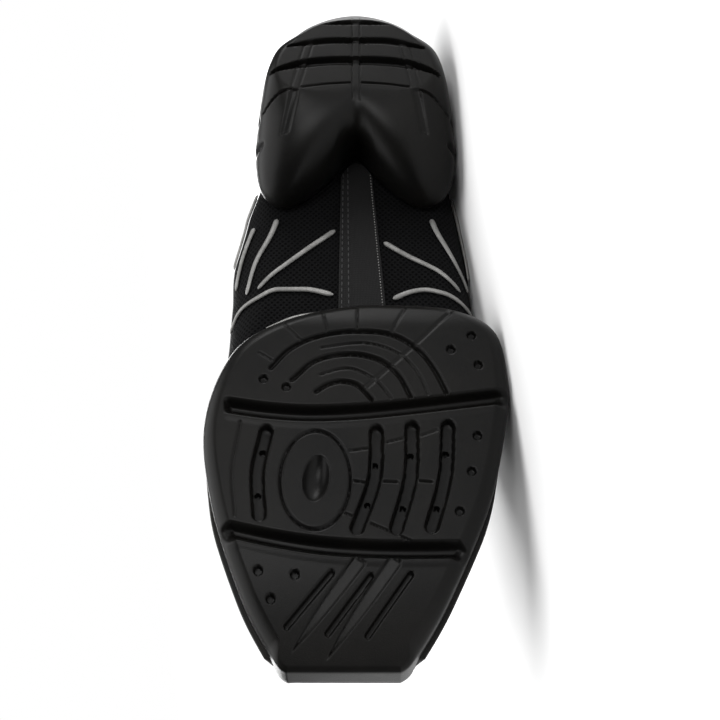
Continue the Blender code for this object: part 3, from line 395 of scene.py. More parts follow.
def new_finish(name):
    """A material with its node tree, its shader and the piece's own coordinates."""
    finish = bpy.data.materials.new(name)
    finish.use_nodes = True
    tree = finish.node_tree
    return finish, tree, tree.nodes["Principled BSDF"], put(tree, "ShaderNodeTexCoord")


def bumped(tree, shader, height, strength, distance):
    inputs = {"Height": height, "Strength": strength, "Distance": distance}
    tree.links.new(put(tree, "ShaderNodeBump", inputs).outputs["Normal"], shader.inputs["Normal"])


def mesh_cloth(name):
    """Spacer mesh: open cells in staggered rows with fine yarn between them; the cells are painted darker,
    partly for the darker backing behind them and partly as painted shade in the holes.
    """
    finish, tree, shader, place = new_finish(name)
    flat = put(tree, "ShaderNodeSeparateXYZ", {0: place.outputs["UV"]})
    sway = noise(tree, place.outputs["UV"], 90.0, 2.0)
    sway = maths(tree, "MULTIPLY_ADD", sway, 0.0009, -0.00045)
    along = maths(tree, "ADD", flat.outputs["X"], sway)
    across = maths(tree, "ADD", flat.outputs["Y"], sway)
    rows = maths(tree, "COSINE", maths(tree, "MULTIPLY", along, math.pi / CELL_LENGTH))
    files = maths(tree, "COSINE", maths(tree, "MULTIPLY", across, math.pi / CELL_WIDTH))
    cell = between(tree, maths(tree, "MULTIPLY", rows, files), 0.04, 0.42)
    yarn = maths(tree, "SINE", maths(tree, "MULTIPLY", maths(tree, "ADD", along, across), YARN_TWIST))
    fuzz = noise(tree, place.outputs["Object"], 2600.0, 2.0)
    patchy = noise(tree, place.outputs["Object"], 60.0, 2.0)
    worn_yarn = tuple(1.5 * c for c in YARN_BLACK)
    shade = blend_colours(tree, between(tree, patchy, 0.3, 0.7), YARN_BLACK, worn_yarn)
    shade = blend_colours(tree, maths(tree, "MULTIPLY", fuzz, 0.5), shade, FUZZ_BLACK)
    # The cells take a darker colour: partly the backing, partly painted shade in the open holes.
    tree.links.new(blend_colours(tree, cell, shade, BACKING_AND_SHADE_BLACK), shader.inputs["Base Color"])
    tree.links.new(maths(tree, "MULTIPLY_ADD", cell, 0.15, 0.74), shader.inputs["Roughness"])
    height = maths(tree, "MULTIPLY_ADD", cell, -1.0, maths(tree, "MULTIPLY", yarn, 0.05))
    height = maths(tree, "MULTIPLY_ADD", fuzz, 0.10, height)
    bumped(tree, shader, height, 0.9, 0.00045)
    shader.inputs["Sheen Weight"].default_value = 0.01
    shader.inputs["Sheen Roughness"].default_value = 0.5
    shader.inputs["Specular IOR Level"].default_value = 0.04
    return finish


def lining_cloth(name, colour):
    """Brushed knit lining: fine ribs, a soft nap and little shine."""
    finish, tree, shader, place = new_finish(name)
    ribs = put(
        tree,
        "ShaderNodeTexWave",
        {"Vector": place.outputs["Object"], "Scale": 520.0, "Distortion": 1.5, "Detail": 1.0},
    ).outputs["Fac"]
    nap = noise(tree, place.outputs["Object"], 1800.0, 3.0, 0.6)
    worn = between(tree, noise(tree, place.outputs["Object"], 45.0, 2.0), 0.35, 0.7)
    shade = blend_colours(tree, worn, colour, tuple(1.6 * c for c in colour))
    shade = blend_colours(tree, maths(tree, "MULTIPLY", ribs, 0.35), shade, tuple(0.45 * c for c in colour))
    tree.links.new(shade, shader.inputs["Base Color"])
    bumped(tree, shader, maths(tree, "MULTIPLY_ADD", ribs, 0.6, nap), 0.5, 0.0003)
    tree.links.new(maths(tree, "MULTIPLY_ADD", nap, 0.12, 0.82), shader.inputs["Roughness"])
    shader.inputs["Sheen Weight"].default_value = 0.06
    return finish


def upper_half(first, last):
    """One side of the upper as a grid of points with its flat pattern's own measures."""
    turns = np.linspace(first, last, HALF_COLUMNS)
    rows = np.concatenate(
        [
            np.linspace(0, LASTING_MARGIN, 5)[:-1],
            np.linspace(LASTING_MARGIN, T_FEATHER, 6)[:-1],
            np.linspace(T_FEATHER, T_WIDEST, 22)[:-1],
            np.linspace(T_WIDEST, 1, 34),
        ]
    )
    points = skin(turns[:, None], rows[None])
    run, rise = run_along(widest_line(turns)), sheet_measures(points)[1]
    if first > 0.5:
        run, rise = run[-1] - run, -rise
    uv = np.stack([np.broadcast_to(run[:, None], rise.shape), rise], axis=-1)
    faces = grid_faces(len(turns), len(rows))
    low = rows[faces % len(rows)].min(axis=1)
    middle = along_of((turns[faces[:, 0] // len(rows)] + turns[faces[:, 2] // len(rows)]) / 2)
    cut_out = np.zeros(len(faces), bool)
    for start, end in (FOREFOOT_OPEN, HEEL_OPEN):
        cut_out |= (middle > start) & (middle < end) & (low < LASTING_MARGIN - 1e-6)
    return points.reshape(-1, 3), faces[~cut_out], uv.reshape(-1, 2)


inner_points, inner_faces, inner_uv = upper_half(0.0, 1.0)
outer_points, outer_faces, outer_uv = upper_half(1.0, 2.0)
upper = made(
    "upper_mesh",
    np.vstack([inner_points, outer_points]),
    np.vstack([inner_faces, outer_faces + len(inner_points)]),
    [mesh_cloth("spacer_mesh"), lining_cloth("upper_lining", LINING_BLACK)],
    uv=np.vstack([inner_uv, outer_uv]),
    sharp=60,
    merge=2e-5,
)
wall = upper.modifiers.new("wall", "SOLIDIFY")
wall.thickness = WALL
wall.offset = -1.0
wall.use_even_offset = False
wall.material_offset = 1
wall.material_offset_rim = 0
settle(upper, "upper_mesh", "upper")


# Toe cap, heel counter and eyestays: thin synthetic leather overlays, cut to shape, skived thin at their
# edges and sewn flat onto the mesh with one row of black thread just inside the edge.
OVERLAY_THICKNESS = 0.0012
GAP = 0.0003
CUP_LIP = 0.0065
SKIVED_EDGE = 0.0016
OVERLAY_BLACK = (0.0060, 0.0060, 0.0063)
THREAD_BLACK = (0.020, 0.020, 0.021)
STITCH_LENGTH = 0.0021
STITCH_WIDTH = 0.00052
STITCH_SPACING = 0.0027
EYESTAY_SPAN = (0.690, 0.425)
EYESTAY_LEVELS = (0.82, 0.985)
EYESTAY_SEAMS = (0.838, 0.968)
TOE_CAP_TURN = 0.13333
TOE_CAP_CLEARANCE = 0.0035
TOE_CAP_TOP = 0.80
TOE_CAP_SEAM = 0.775
COUNTER_TURN = 0.1
COUNTER_CLEARANCE = 0.0015
COUNTER_TOP = 0.86
COUNTER_SEAM = 0.835
COUNTER_SLOPE = 0.5


def leather(name, colour):
    """Matt synthetic leather: a fine pebbled grain, a little smoother on its high spots."""
    finish, tree, shader, place = new_finish(name)
    cells = put(
        tree, "ShaderNodeTexVoronoi", {"Vector": place.outputs["Object"], "Scale": 900.0}, feature="SMOOTH_F1"
    ).outputs["Distance"]
    grain = noise(tree, place.outputs["Object"], 420.0, 4.0, 0.55)
    rubbed = between(tree, noise(tree, place.outputs["Object"], 35.0, 3.0), 0.4, 0.75)
    shade = blend_colours(tree, rubbed, colour, tuple(1.45 * c for c in colour))
    tree.links.new(shade, shader.inputs["Base Color"])
    tree.links.new(maths(tree, "MULTIPLY_ADD", grain, 0.22, 0.40), shader.inputs["Roughness"])
    shader.inputs["Specular IOR Level"].default_value = 0.25
    bumped(tree, shader, maths(tree, "MULTIPLY_ADD", cells, 0.8, grain), 0.45, 0.00025)
    return finish


def thread(name, colour):
    """Twisted sewing thread, with a slight gloss and painted shade in the grooves of its twist."""
    finish, tree, shader, place = new_finish(name)
    twist = put(
        tree, "ShaderNodeTexWave", {"Vector": place.outputs["Object"], "Scale": 1600.0, "Distortion": 2.0}
    ).outputs["Fac"]
    # Painted shade: the thread is coloured darker where its twist sinks in.
    twist_shade = tuple(0.5 * c for c in colour)
    tree.links.new(blend_colours(tree, twist, twist_shade, colour), shader.inputs["Base Color"])
    shader.inputs["Roughness"].default_value = 0.5
    bumped(tree, shader, twist, 0.4, 0.0001)
    return finish


def closed_sheet(name, outer, inner, run, rise, finish, sharp=38):
    """A sheet of two faces with a rim between them; its run and rise over the flat pattern are its UV map."""
    rows, columns = run.shape
    faces, count = grid_faces(rows, columns), rows * columns
    border = [*range(columns), *range(2 * columns - 1, count, columns)]
    border += [*range(count - 2, count - columns - 1, -1), *range(count - 2 * columns, 0, -columns)]
    rim = [(a, b, b + count, a + count) for a, b in zip(border, border[1:] + border[:1], strict=True)]
    faces = [*faces, *(faces[:, ::-1] + count), *rim]
    uv = np.stack([run, rise], axis=-1).reshape(-1, 2)
    points = np.vstack([outer.reshape(-1, 3), inner.reshape(-1, 3)])
    return made(name, points, faces, finish, np.vstack([uv, uv]), sharp)


def patch(name, turns, levels, node):
    """An overlay on the upper over a grid of turns and heights, thin at its skived rim."""
    t = np.stack([np.linspace(a, b, 27) for a, b in levels])
    around = np.broadcast_to(turns[:, None], t.shape)
    face, normal = skin(around, t), skin_normal(around, t)
    run, rise, edge = sheet_measures(face)
    height = OVERLAY_THICKNESS * (0.3 + 0.7 * end_rounding(edge / SKIVED_EDGE))
    outer = face + normal * (GAP + height)[..., None]
    settle(closed_sheet(name, outer, face + normal * GAP, run, rise, overlay_skin), "overlay", node)


def over_lip(turn, clearance):
    """The height, in t, at which the upper comes out of a sole's lip."""
    rise = widest_line(turn)[..., 2] - feather_line(turn)[..., 2]
    share = np.minimum(1.0, (CUP_LIP + clearance) / rise)
    return T_FEATHER + (T_WIDEST - T_FEATHER) * np.arccos(1 - share) / (math.pi / 2)


def path_object(name, lines):
    """Loose polylines with an outward direction and a thickness at each point, for a sweep or a row."""
    mesh = bpy.data.meshes.new(name)
    points, edges, ups, swells = [], [], [], []
    for line, up, swell in lines:
        first = len(points)
        points += laid(line).tolist()
        ups += turned(up).tolist()
        swells += list(np.broadcast_to(np.asarray(swell, float), len(line)))
        edges += [(k, k + 1) for k in range(first, len(points) - 1)]
    mesh.from_pydata(points, edges, [])
    mesh.attributes.new("up", "FLOAT_VECTOR", "POINT").data.foreach_set("vector", np.ravel(ups))
    mesh.attributes.new("swell", "FLOAT", "POINT").data.foreach_set("value", swells)
    carrier = bpy.data.objects.new(name, mesh)
    bpy.context.scene.collection.objects.link(carrier)
    return carrier


def grown(carrier, tree, sizes, finish, name):
    """The plain mesh that a tree grows from a carrier, with the tree's sizes given by name."""
    change = carrier.modifiers.new(tree.name, "NODES")
    change.node_group = tree
    sockets = {item.name: item.identifier for item in tree.interface.items_tree if item.in_out == "INPUT"}
    for key, value in sizes.items():
        change[sockets[key]] = value
    change[sockets["Material"]] = finish
    graph = bpy.context.evaluated_depsgraph_get()
    mesh = bpy.data.meshes.new_from_object(carrier.evaluated_get(graph))
    mesh.name = name
    piece = bpy.data.objects.new(name, mesh)
    bpy.context.scene.collection.objects.link(piece)
    bpy.data.objects.remove(carrier, do_unlink=True)
    return piece


def new_tree(name, sizes):
    """A geometry tree with a geometry in and out, named sizes and a material."""
    tree = bpy.data.node_groups.new(name, "GeometryNodeTree")
    tree.interface.new_socket("Geometry", in_out="INPUT", socket_type="NodeSocketGeometry")
    for key, value in sizes.items():
        kind = "NodeSocketInt" if isinstance(value, int) else "NodeSocketFloat"
        tree.interface.new_socket(key, in_out="INPUT", socket_type=kind).default_value = value
    tree.interface.new_socket("Material", in_out="INPUT", socket_type="NodeSocketMaterial")
    tree.interface.new_socket("Geometry", in_out="OUTPUT", socket_type="NodeSocketGeometry")
    return tree, put(tree, "NodeGroupInput").outputs, put(tree, "NodeGroupOutput").inputs


def close_tree(tree, result, given, out):
    whole = put(tree, "GeometryNodeRealizeInstances", {0: result}).outputs[0]
    smooth = put(tree, "GeometryNodeSetShadeSmooth", {0: whole}).outputs[0]
    last = put(tree, "GeometryNodeSetMaterial", {0: smooth, "Material": given["Material"]}).outputs[0]
    tree.links.new(last, out["Geometry"])


def stitch_tree():
    """Rows of stitches: one short thread every spacing along each line, lying flat on its surface."""
    tree, given, out = new_tree(
        "stitch_row", {"Spacing": STITCH_SPACING, "Length": STITCH_LENGTH, "Width": STITCH_WIDTH}
    )
    line = put(tree, "GeometryNodeMeshToCurve", {"Mesh": given["Geometry"]}).outputs[0]
    spacing = {0: line, "Length": given["Spacing"]}
    spots = put(tree, "GeometryNodeResampleCurve", spacing, mode="LENGTH").outputs[0]
    thread_end = put(tree, "GeometryNodeMeshUVSphere", {"Segments": 8, "Rings": 6, "Radius": 0.5}).outputs[0]
    sizes = {0: given["Length"], 1: given["Width"], 2: given["Width"]}
    size = put(tree, "ShaderNodeCombineXYZ", sizes).outputs[0]
    one = put(tree, "GeometryNodeTransform", {"Geometry": thread_end, "Scale": size}).outputs[0]
    tangent = put(tree, "GeometryNodeInputTangent").outputs[0]
    up = put(tree, "GeometryNodeInputNamedAttribute", {"Name": "up"}, data_type="FLOAT_VECTOR").outputs[0]
    turn = put(tree, "FunctionNodeAlignRotationToVector", {"Vector": tangent}, axis="X").outputs[0]
    turn = put(
        tree, "FunctionNodeAlignRotationToVector", {"Rotation": turn, "Vector": up}, axis="Z", pivot_axis="X"
    ).outputs[0]
    stitching = {"Points": spots, "Instance": one, "Rotation": turn}
    close_tree(tree, put(tree, "GeometryNodeInstanceOnPoints", stitching).outputs[0], given, out)
    return tree


def skin_line(turns, levels, height):
    """A line on the upper at that height over it, with its outward directions."""
    turns, levels = np.asarray(turns, float), np.asarray(levels, float)
    return lifted(turns, levels, np.full(len(turns), float(height))), skin_normal(turns, levels), 1.0


overlay_skin = leather("overlay_leather", OVERLAY_BLACK)
black_thread = thread("black_thread", THREAD_BLACK)
stitches = stitch_tree()
on_overlay = GAP + OVERLAY_THICKNESS + 0.00005

cap_turns = np.linspace(1 - TOE_CAP_TURN, 1 + TOE_CAP_TURN, 81)
cap_levels = [(over_lip(turn, TOE_CAP_CLEARANCE), TOE_CAP_TOP) for turn in cap_turns]
patch("toe_cap_leather", cap_turns, cap_levels, "toe_cap")
counter_turns = np.linspace(-COUNTER_TURN, COUNTER_TURN, 61)
counter_levels = [
    (over_lip(turn, COUNTER_CLEARANCE), COUNTER_TOP - COUNTER_SLOPE * abs(turn)) for turn in counter_turns
]
patch("heel_counter_leather", counter_turns, counter_levels, "heel_counter")
stay_turns = {}
for name, side in (("medial", MEDIAL), ("lateral", LATERAL)):
    first, last = sorted(float(turn_of(along, side)) for along in EYESTAY_SPAN)
    stay_turns[side] = np.linspace(first, last, 61)
    patch(f"eyestay_{name}_leather", stay_turns[side], [EYESTAY_LEVELS] * 61, f"eyestay_{name}")

counter_seam = counter_turns[3:-3]
rows = [
    skin_line(cap_turns[3:-3], np.full(75, TOE_CAP_SEAM), on_overlay),
    skin_line(counter_seam, COUNTER_SEAM - COUNTER_SLOPE * np.abs(counter_seam), on_overlay),
]
for turns in stay_turns.values():
    rows += [skin_line(turns[2:-2], np.full(57, level), on_overlay) for level in EYESTAY_SEAMS]
overlay_stitches = grown(path_object("overlay_seams", rows), stitches, {}, black_thread, "overlay_stitches")
settle(overlay_stitches, "overlay")


# Piping: ten ribs of silver-grey reflective film folded over a thin cord. Each is laid on the mesh along
# the cut of the pattern, pressed half flat and sewn through from inside, which leaves a faint nick at each
# stitch.
PIPING_WIDTH = 0.0020
PIPING_HEIGHT = 0.0011
PIPING_GREY = (0.20, 0.197, 0.19)
RUBBED_GREY = (0.13, 0.128, 0.123)
# Painted shade in the dent that each stitch presses into the film
NICK_SHADE_GREY = (0.08, 0.08, 0.077)
NICK_SPACING = 0.0023
RIB_POINTS = 61
# Place from heel to toe and height t of each rib's points, from the heel's end to the ball's
RIBS_MEDIAL = (
    ((0.245, 0.47), (0.290, 0.465), (0.340, 0.46), (0.385, 0.45)),
    ((0.325, 0.375), (0.350, 0.39), (0.390, 0.40), (0.430, 0.42)),
    ((0.316, 0.280), (0.360, 0.31), (0.400, 0.337), (0.452, 0.356)),
    ((0.338, 0.076), (0.376, 0.175), (0.414, 0.255), (0.448, 0.312)),
    ((0.462, 0.070), (0.452, 0.16), (0.452, 0.24), (0.466, 0.31), (0.480, 0.38), (0.505, 0.43)),
    ((0.497, 0.10), (0.505, 0.17), (0.525, 0.23)),
)
RIBS_LATERAL = (
    ((0.255, 0.46), (0.300, 0.455), (0.350, 0.45), (0.405, 0.45)),
    ((0.316, 0.265), (0.360, 0.303), (0.400, 0.352), (0.436, 0.415)),
    ((0.362, 0.092), (0.388, 0.165), (0.412, 0.24), (0.450, 0.342)),
    ((0.470, 0.102), (0.458, 0.15), (0.453, 0.20), (0.461, 0.26), (0.474, 0.33), (0.486, 0.39)),
)


def sweep_tree():
    """A strip swept along each line: flat below, domed above, as wide as the line's own swell says."""
    sizes = {"Width": 0.002, "Height": 0.001, "Step": 0.0006, "Sides": 14}
    tree, given, out = new_tree("swept_strip", sizes)
    line = put(tree, "GeometryNodeMeshToCurve", {"Mesh": given["Geometry"]}).outputs[0]
    step = {0: line, "Length": given["Step"]}
    line = put(tree, "GeometryNodeResampleCurve", step, mode="LENGTH").outputs[0]
    up = put(tree, "GeometryNodeInputNamedAttribute", {"Name": "up"}, data_type="FLOAT_VECTOR").outputs[0]
    line = put(tree, "GeometryNodeSetCurveNormal", {0: line, "Normal": up}, mode="FREE").outputs[0]
    run = put(tree, "GeometryNodeSplineParameter").outputs["Length"]
    line = put(tree, "GeometryNodeStoreNamedAttribute", {0: line, "Name": "run", "Value": run}).outputs[0]
    circle = {"Resolution": given["Sides"], "Radius": 0.5}
    ring = put(tree, "GeometryNodeCurvePrimitiveCircle", circle).outputs[0]
    width = put(tree, "ShaderNodeCombineXYZ", {0: given["Height"], 1: given["Width"], 2: 1.0}).outputs[0]
    ring = put(tree, "GeometryNodeTransform", {"Geometry": ring, "Scale": width}).outputs[0]
    spot = put(tree, "ShaderNodeSeparateXYZ", {0: put(tree, "GeometryNodeInputPosition").outputs[0]}).outputs
    half = maths(tree, "MULTIPLY", given["Height"], 0.5)
    flat = maths(tree, "MAXIMUM", spot[0], maths(tree, "MULTIPLY", half, -0.55))
    place = put(tree, "ShaderNodeCombineXYZ", {0: flat, 1: spot[1], 2: spot[2]}).outputs[0]
    ring = put(tree, "GeometryNodeSetPosition", {0: ring, "Position": place}).outputs[0]
    swell = put(tree, "GeometryNodeInputNamedAttribute", {"Name": "swell"}, data_type="FLOAT").outputs[0]
    strip = {"Curve": line, "Profile Curve": ring, "Scale": swell, "Fill Caps": True}
    close_tree(tree, put(tree, "GeometryNodeCurveToMesh", strip).outputs[0], given, out)
    return tree


def piping_film(name):
    """Silver-grey film with a soft metallic sheen, dulled where rubbed and nicked across at every stitch,
    each nick dented and darkened with painted shade.
    """
    finish, tree, shader, place = new_finish(name)
    run = put(tree, "ShaderNodeAttribute", attribute_name="run").outputs["Fac"]
    wander = maths(tree, "MULTIPLY", noise(tree, place.outputs["Object"], 300.0, 2.0), 0.0008)
    share = maths(tree, "FRACT", maths(tree, "DIVIDE", maths(tree, "ADD", run, wander), NICK_SPACING))
    nick = between(tree, maths(tree, "ABSOLUTE", maths(tree, "SUBTRACT", share, 0.5)), 0.0, 0.07, 1.0, 0.0)
    dull = between(tree, noise(tree, place.outputs["Object"], 140.0, 4.0, 0.6), 0.35, 0.75)
    shade = blend_colours(tree, dull, PIPING_GREY, RUBBED_GREY)
    # Painted shade: each nick is coloured darker where it dents the film.
    shade = blend_colours(tree, maths(tree, "MULTIPLY", nick, 0.35), shade, NICK_SHADE_GREY)
    tree.links.new(shade, shader.inputs["Base Color"])
    tree.links.new(maths(tree, "MULTIPLY_ADD", dull, 0.2, 0.38), shader.inputs["Roughness"])
    shader.inputs["Metallic"].default_value = 0.25
    grain = maths(tree, "MULTIPLY", noise(tree, place.outputs["Object"], 2200.0, 2.0), 0.3)
    bumped(tree, shader, maths(tree, "MULTIPLY_ADD", nick, -0.5, grain), 0.4, 0.0002)
    return finish


def smooth_rows(rows, count):
    table = [(k / (len(rows) - 1), *row) for k, row in enumerate(rows)]
    return curve(table, np.linspace(0, 1, count))


silver_film = piping_film("silver_film")
strips = sweep_tree()
for name, side, ribs in (("medial", MEDIAL, RIBS_MEDIAL), ("lateral", LATERAL, RIBS_LATERAL)):
    for k, rows in enumerate(ribs):
        path = smooth_rows(rows, RIB_POINTS)
        turns = turn_of(path[:, 0], side)
        share = np.linspace(0, 1, RIB_POINTS)
        swell = 0.25 + 0.75 * np.minimum(1, end_rounding(np.minimum(share, 1 - share) / 0.06))
        swell = swell * (1.08 - 0.30 * share)
        up = skin_normal(turns, path[:, 1])
        line = skin(turns, path[:, 1]) + up * (GAP + PIPING_HEIGHT * 0.30)
        rib = grown(
            path_object(f"piping_line_{name}_{k + 1}", [(line, up, swell)]),
            strips,
            {"Width": PIPING_WIDTH, "Height": PIPING_HEIGHT * 1.25},
            silver_film,
            f"piping_film_{name}_{k + 1}",
        )
        settle(rib, "silver_piping", f"piping_{name}_{k + 1}")


# Arch band: a smooth black webbing sewn over the joint of the two halves of the upper, between the soles.
# The inner edge has two rows of thread and the outer edge one row of lighter, open stitches.
BAND_ENDS = (0.2290, 0.501)
BAND_END_ROUNDING = 0.0235
BAND_WIDTH = 0.0165
# Each edge's place off the middle line as a share of the width: at the heel's end, and its growth to the ball
BAND_INNER_EDGE = (0.36, 0.03)
BAND_OUTER_EDGE = (0.36, 0.30)
BAND_THICKNESS = 0.0012
SEAT_GAP = 0.0006
SELVEDGE = 0.0006
BAND_BLACK = (0.0045, 0.0044, 0.0045)
EDGE_THREAD_GREY = (0.22, 0.218, 0.21)
WOVEN_LENGTH = 0.0655
RIB_PITCH = 0.00055
PICK_PITCH = RIB_PITCH * 1.7
BAND_COLUMNS, BAND_ROWS = 181, 41
BAND_SEAMS = (0.93, 0.78)
EDGE_SEAM = 0.07


def webbing(name):
    """Close webbing: fine lengthwise ribs crossed by flatter picks, with a little painted sheen on the raised
    weave and painted shade where it sinks.
    """
    finish, tree, shader, place = new_finish(name)
    flat = put(tree, "ShaderNodeSeparateXYZ", {0: place.outputs["UV"]})
    ribs = maths(tree, "COSINE", maths(tree, "MULTIPLY", flat.outputs["Y"], math.tau / RIB_PITCH))
    picks = maths(tree, "COSINE", maths(tree, "MULTIPLY", flat.outputs["X"], math.tau / PICK_PITCH))
    fuzz = noise(tree, place.outputs["Object"], 1500.0, 3.0, 0.6)
    weave = maths(tree, "MULTIPLY_ADD", picks, 0.5, ribs)
    share = between(tree, weave, -1.5, 1.5)
    # Painted sheen and shade: the raised weave is coloured lighter and the sunken weave darker.
    low, high = tuple(0.7 * c for c in BAND_BLACK), tuple(1.35 * c for c in BAND_BLACK)
    shade = blend_colours(tree, share, low, high)
    shade = blend_colours(tree, maths(tree, "MULTIPLY", fuzz, 0.4), shade, BAND_BLACK)
    tree.links.new(shade, shader.inputs["Base Color"])
    tree.links.new(maths(tree, "MULTIPLY_ADD", fuzz, 0.15, 0.62), shader.inputs["Roughness"])
    bumped(tree, shader, maths(tree, "MULTIPLY_ADD", fuzz, 0.8, weave), 0.35, 0.0002)
    shader.inputs["Sheen Weight"].default_value = 0.04
    shader.inputs["Specular IOR Level"].default_value = 0.12
    return finish


def band_point(share, across, height):
    """A point of the band: its share from heel to ball, its share from the outer to the inner edge."""
    start = BAND_ENDS[0] + BAND_END_ROUNDING * (2 * across - 1) ** 2
    x = LENGTH * (start + share * (BAND_ENDS[1] - start))
    inner = BAND_WIDTH * (BAND_INNER_EDGE[0] + BAND_INNER_EDGE[1] * share)
    outer = -BAND_WIDTH * (BAND_OUTER_EDGE[0] + BAND_OUTER_EDGE[1] * share)
    return np.stack([x, outer + (inner - outer) * across, seat_height(x) - SEAT_GAP - height], axis=-1)


def band_seam(across, lift):
    share = np.linspace(0.015, 0.985, 60)
    down = np.broadcast_to([0.0, 0.0, -1.0], (60, 3))
    return band_point(share, np.full(60, across), BAND_THICKNESS + lift), down, 1.0


lengthwise, across = np.meshgrid(
    np.linspace(0, 1, BAND_COLUMNS), np.linspace(0, 1, BAND_ROWS), indexing="ij"
)
to_selvedge = np.minimum(across, 1 - across) * BAND_WIDTH / SELVEDGE
top_face = band_point(lengthwise, across, BAND_THICKNESS * (0.45 + 0.55 * end_rounding(to_selvedge)))
under_face = band_point(lengthwise, across, 0.0)
run, rise = lengthwise * WOVEN_LENGTH, across * BAND_WIDTH
band = closed_sheet("arch_webbing", top_face, under_face, run, rise, webbing("black_webbing"))
settle(band, "woven_band", "arch_band")

inner_rows = path_object("band_seams", [band_seam(at, 0.00004) for at in BAND_SEAMS])
settle(grown(inner_rows, stitches, {"Width": 0.00045}, black_thread, "band_stitches"), "woven_band")
outer_row = path_object("band_edge_seam", [band_seam(EDGE_SEAM, 0.00002)])
open_stitch = {"Spacing": 0.0013, "Length": 0.0007, "Width": 0.0004}
pale_thread = thread("pale_thread", EDGE_THREAD_GREY)
settle(grown(outer_row, stitches, open_stitch, pale_thread, "band_edge_stitches"), "woven_band")


# Insole: a thin fibre board with a soft knit cover, cut a little smaller than the bottom of the upper. It is
# laid in over the lasting margin and glued down.
INSOLE_SHRINK = 0.985
INSOLE_INSET = 0.0012
INSOLE_BLACK = (0.014, 0.014, 0.0152)
# Share of the way out from the middle line and height of each loop, up its edge and back over its top
INSOLE_SECTION = (
    (0.0, 0.0),
    (0.5, 0.0),
    (0.97, 0.0),
    (1.0, 0.0006),
    (1.0, 0.0026),
    (0.985, 0.0033),
    (0.96, 0.0035),
    (0.7, 0.0035),
    (0.35, 0.0035),
    (0.0, 0.0035),
)
turns = np.linspace(0, 2, 241)[:-1]
edge = feather_line(np.where(turns < 0.02, 0.02, np.where(turns > 1.98, 1.98, turns)))
x = LENGTH / 2 + (edge[:, 0] - LENGTH / 2) * INSOLE_SHRINK
y = edge[:, 1] - side_of(turns) * np.minimum(INSOLE_INSET, np.abs(edge[:, 1]) * 0.5)
floor = seat_height(x) + WALL + SEAT_GAP
points = np.stack([np.stack([x, y * share, floor + height], axis=-1) for share, height in INSOLE_SECTION])
faces = grid_faces(len(INSOLE_SECTION), len(turns), wrap=True)
insole = made("insole_cover", points, faces, lining_cloth("insole_cloth", INSOLE_BLACK), merge=2e-5)
settle(insole, "lining_cloth", "insole")


# Forefoot midsole: moulded black foam rubber that cups the upper, a little wider than the outsole round the
# toe. The upper is glued down into it, and the outsole is glued on below.
BALL_WIDTH = 0.102
OUTSOLE_THICKNESS = 0.009
REAR_BEVEL = 0.0045
PLATFORM_HEIGHT = 0.0235
PLATFORM_DEPTH = 0.006
PLATFORM_BACK = LENGTH - PLATFORM_DEPTH
MIDSOLE_FLARE = 0.0018
LIP_INSET = 0.0012
FOREFOOT_REAR = 0.506
REAR_BEVEL_SPAN = 0.05
FOAM_BLACK = (0.0118, 0.0115, 0.0112)
# Inset and share of the height of each loop up the midsole's side, then over its lip
MIDSOLE_SIDE = (
    (0.0006, 0.0),
    (0.0001, 0.04),
    (0.0, 0.12),
    (0.0, 0.3),
    (0.0001, 0.5),
    (0.0003, 0.66),
)
MIDSOLE_LIP = ((0.0, 0.86), (0.0004, 0.95), (0.0012, 1.0), (0.004, 1.0), (0.009, 1.0))
# Plan of the forefoot: share of the length, share of the ball width towards the inner side
FOREFOOT = (
    (0.508, 0.02),
    (0.534, 0.235),
    (0.583, 0.412),
    (0.682, 0.497),
    (0.795, 0.462),
    (0.909, 0.362),
    (0.972, 0.275),
    (0.998, 0.225),
    (1.000, 0.150),
    (1.000, -0.080),
    (0.998, -0.150),
    (0.972, -0.205),
    (0.909, -0.300),
    (0.795, -0.427),
    (0.682, -0.493),
    (0.621, -0.501),
    (0.553, -0.466),
    (0.515, -0.324),
    (0.506, -0.137),
)


def ground_height(x):
    spring = np.maximum(0.0, (x / LENGTH - SPRING_START - 0.04) / (1 - SPRING_START - 0.04))
    rear = np.maximum(0.0, 1 - (x / LENGTH - FOREFOOT_REAR) / REAR_BEVEL_SPAN)
    return TOE_SPRING * spring**1.5 + REAR_BEVEL * rear**2


def parting_height(x):
    return ground_height(x) + OUTSOLE_THICKNESS / BALL_HEIGHT * (seat_height(x) - ground_height(x))


def closed_curve(points, count):
    """Points spaced evenly along the smooth closed curve through the given plan points."""
    given = np.array(points, float)
    before, after, second = np.roll(given, 1, 0), np.roll(given, -1, 0), np.roll(given, -2, 0)
    fine = [
        0.5
        * (
            2 * given
            + (after - before) * u
            + (2 * before - 5 * given + 4 * after - second) * u**2
            + (3 * given - before - 3 * after + second) * u**3
        )
        for u in np.linspace(0, 1, 48, endpoint=False)
    ]
    path = np.stack(fine, axis=1).reshape(-1, 2)
    path = np.vstack([path, path[:1]])
    run = run_along(path)
    at = np.linspace(0, run[-1], count, endpoint=False)
    return np.stack([np.interp(at, run, path[:, 0]), np.interp(at, run, path[:, 1])], axis=1)


def inset(outline, distance, blur):
    """A closed plan outline moved inwards, its directions blurred over that many points each way."""
    ahead = np.roll(outline, -1, 0) - np.roll(outline, 1, 0)
    ahead /= np.linalg.norm(ahead, axis=1)[:, None]
    ahead = sum(np.roll(ahead, k, 0) * (blur + 1 - abs(k)) for k in range(-blur, blur + 1))
    normal = np.stack([ahead[:, 1], -ahead[:, 0]], axis=1)
    normal /= np.linalg.norm(normal, axis=1)[:, None]
    x, y = outline.T
    turning = math.copysign(1.0, np.sum(x * np.roll(y, -1) - np.roll(x, -1) * y))
    return outline - turning * normal * np.asarray(distance, float).reshape(-1, 1)


def towards(outline, centre, share):
    return centre + (outline - centre) * share


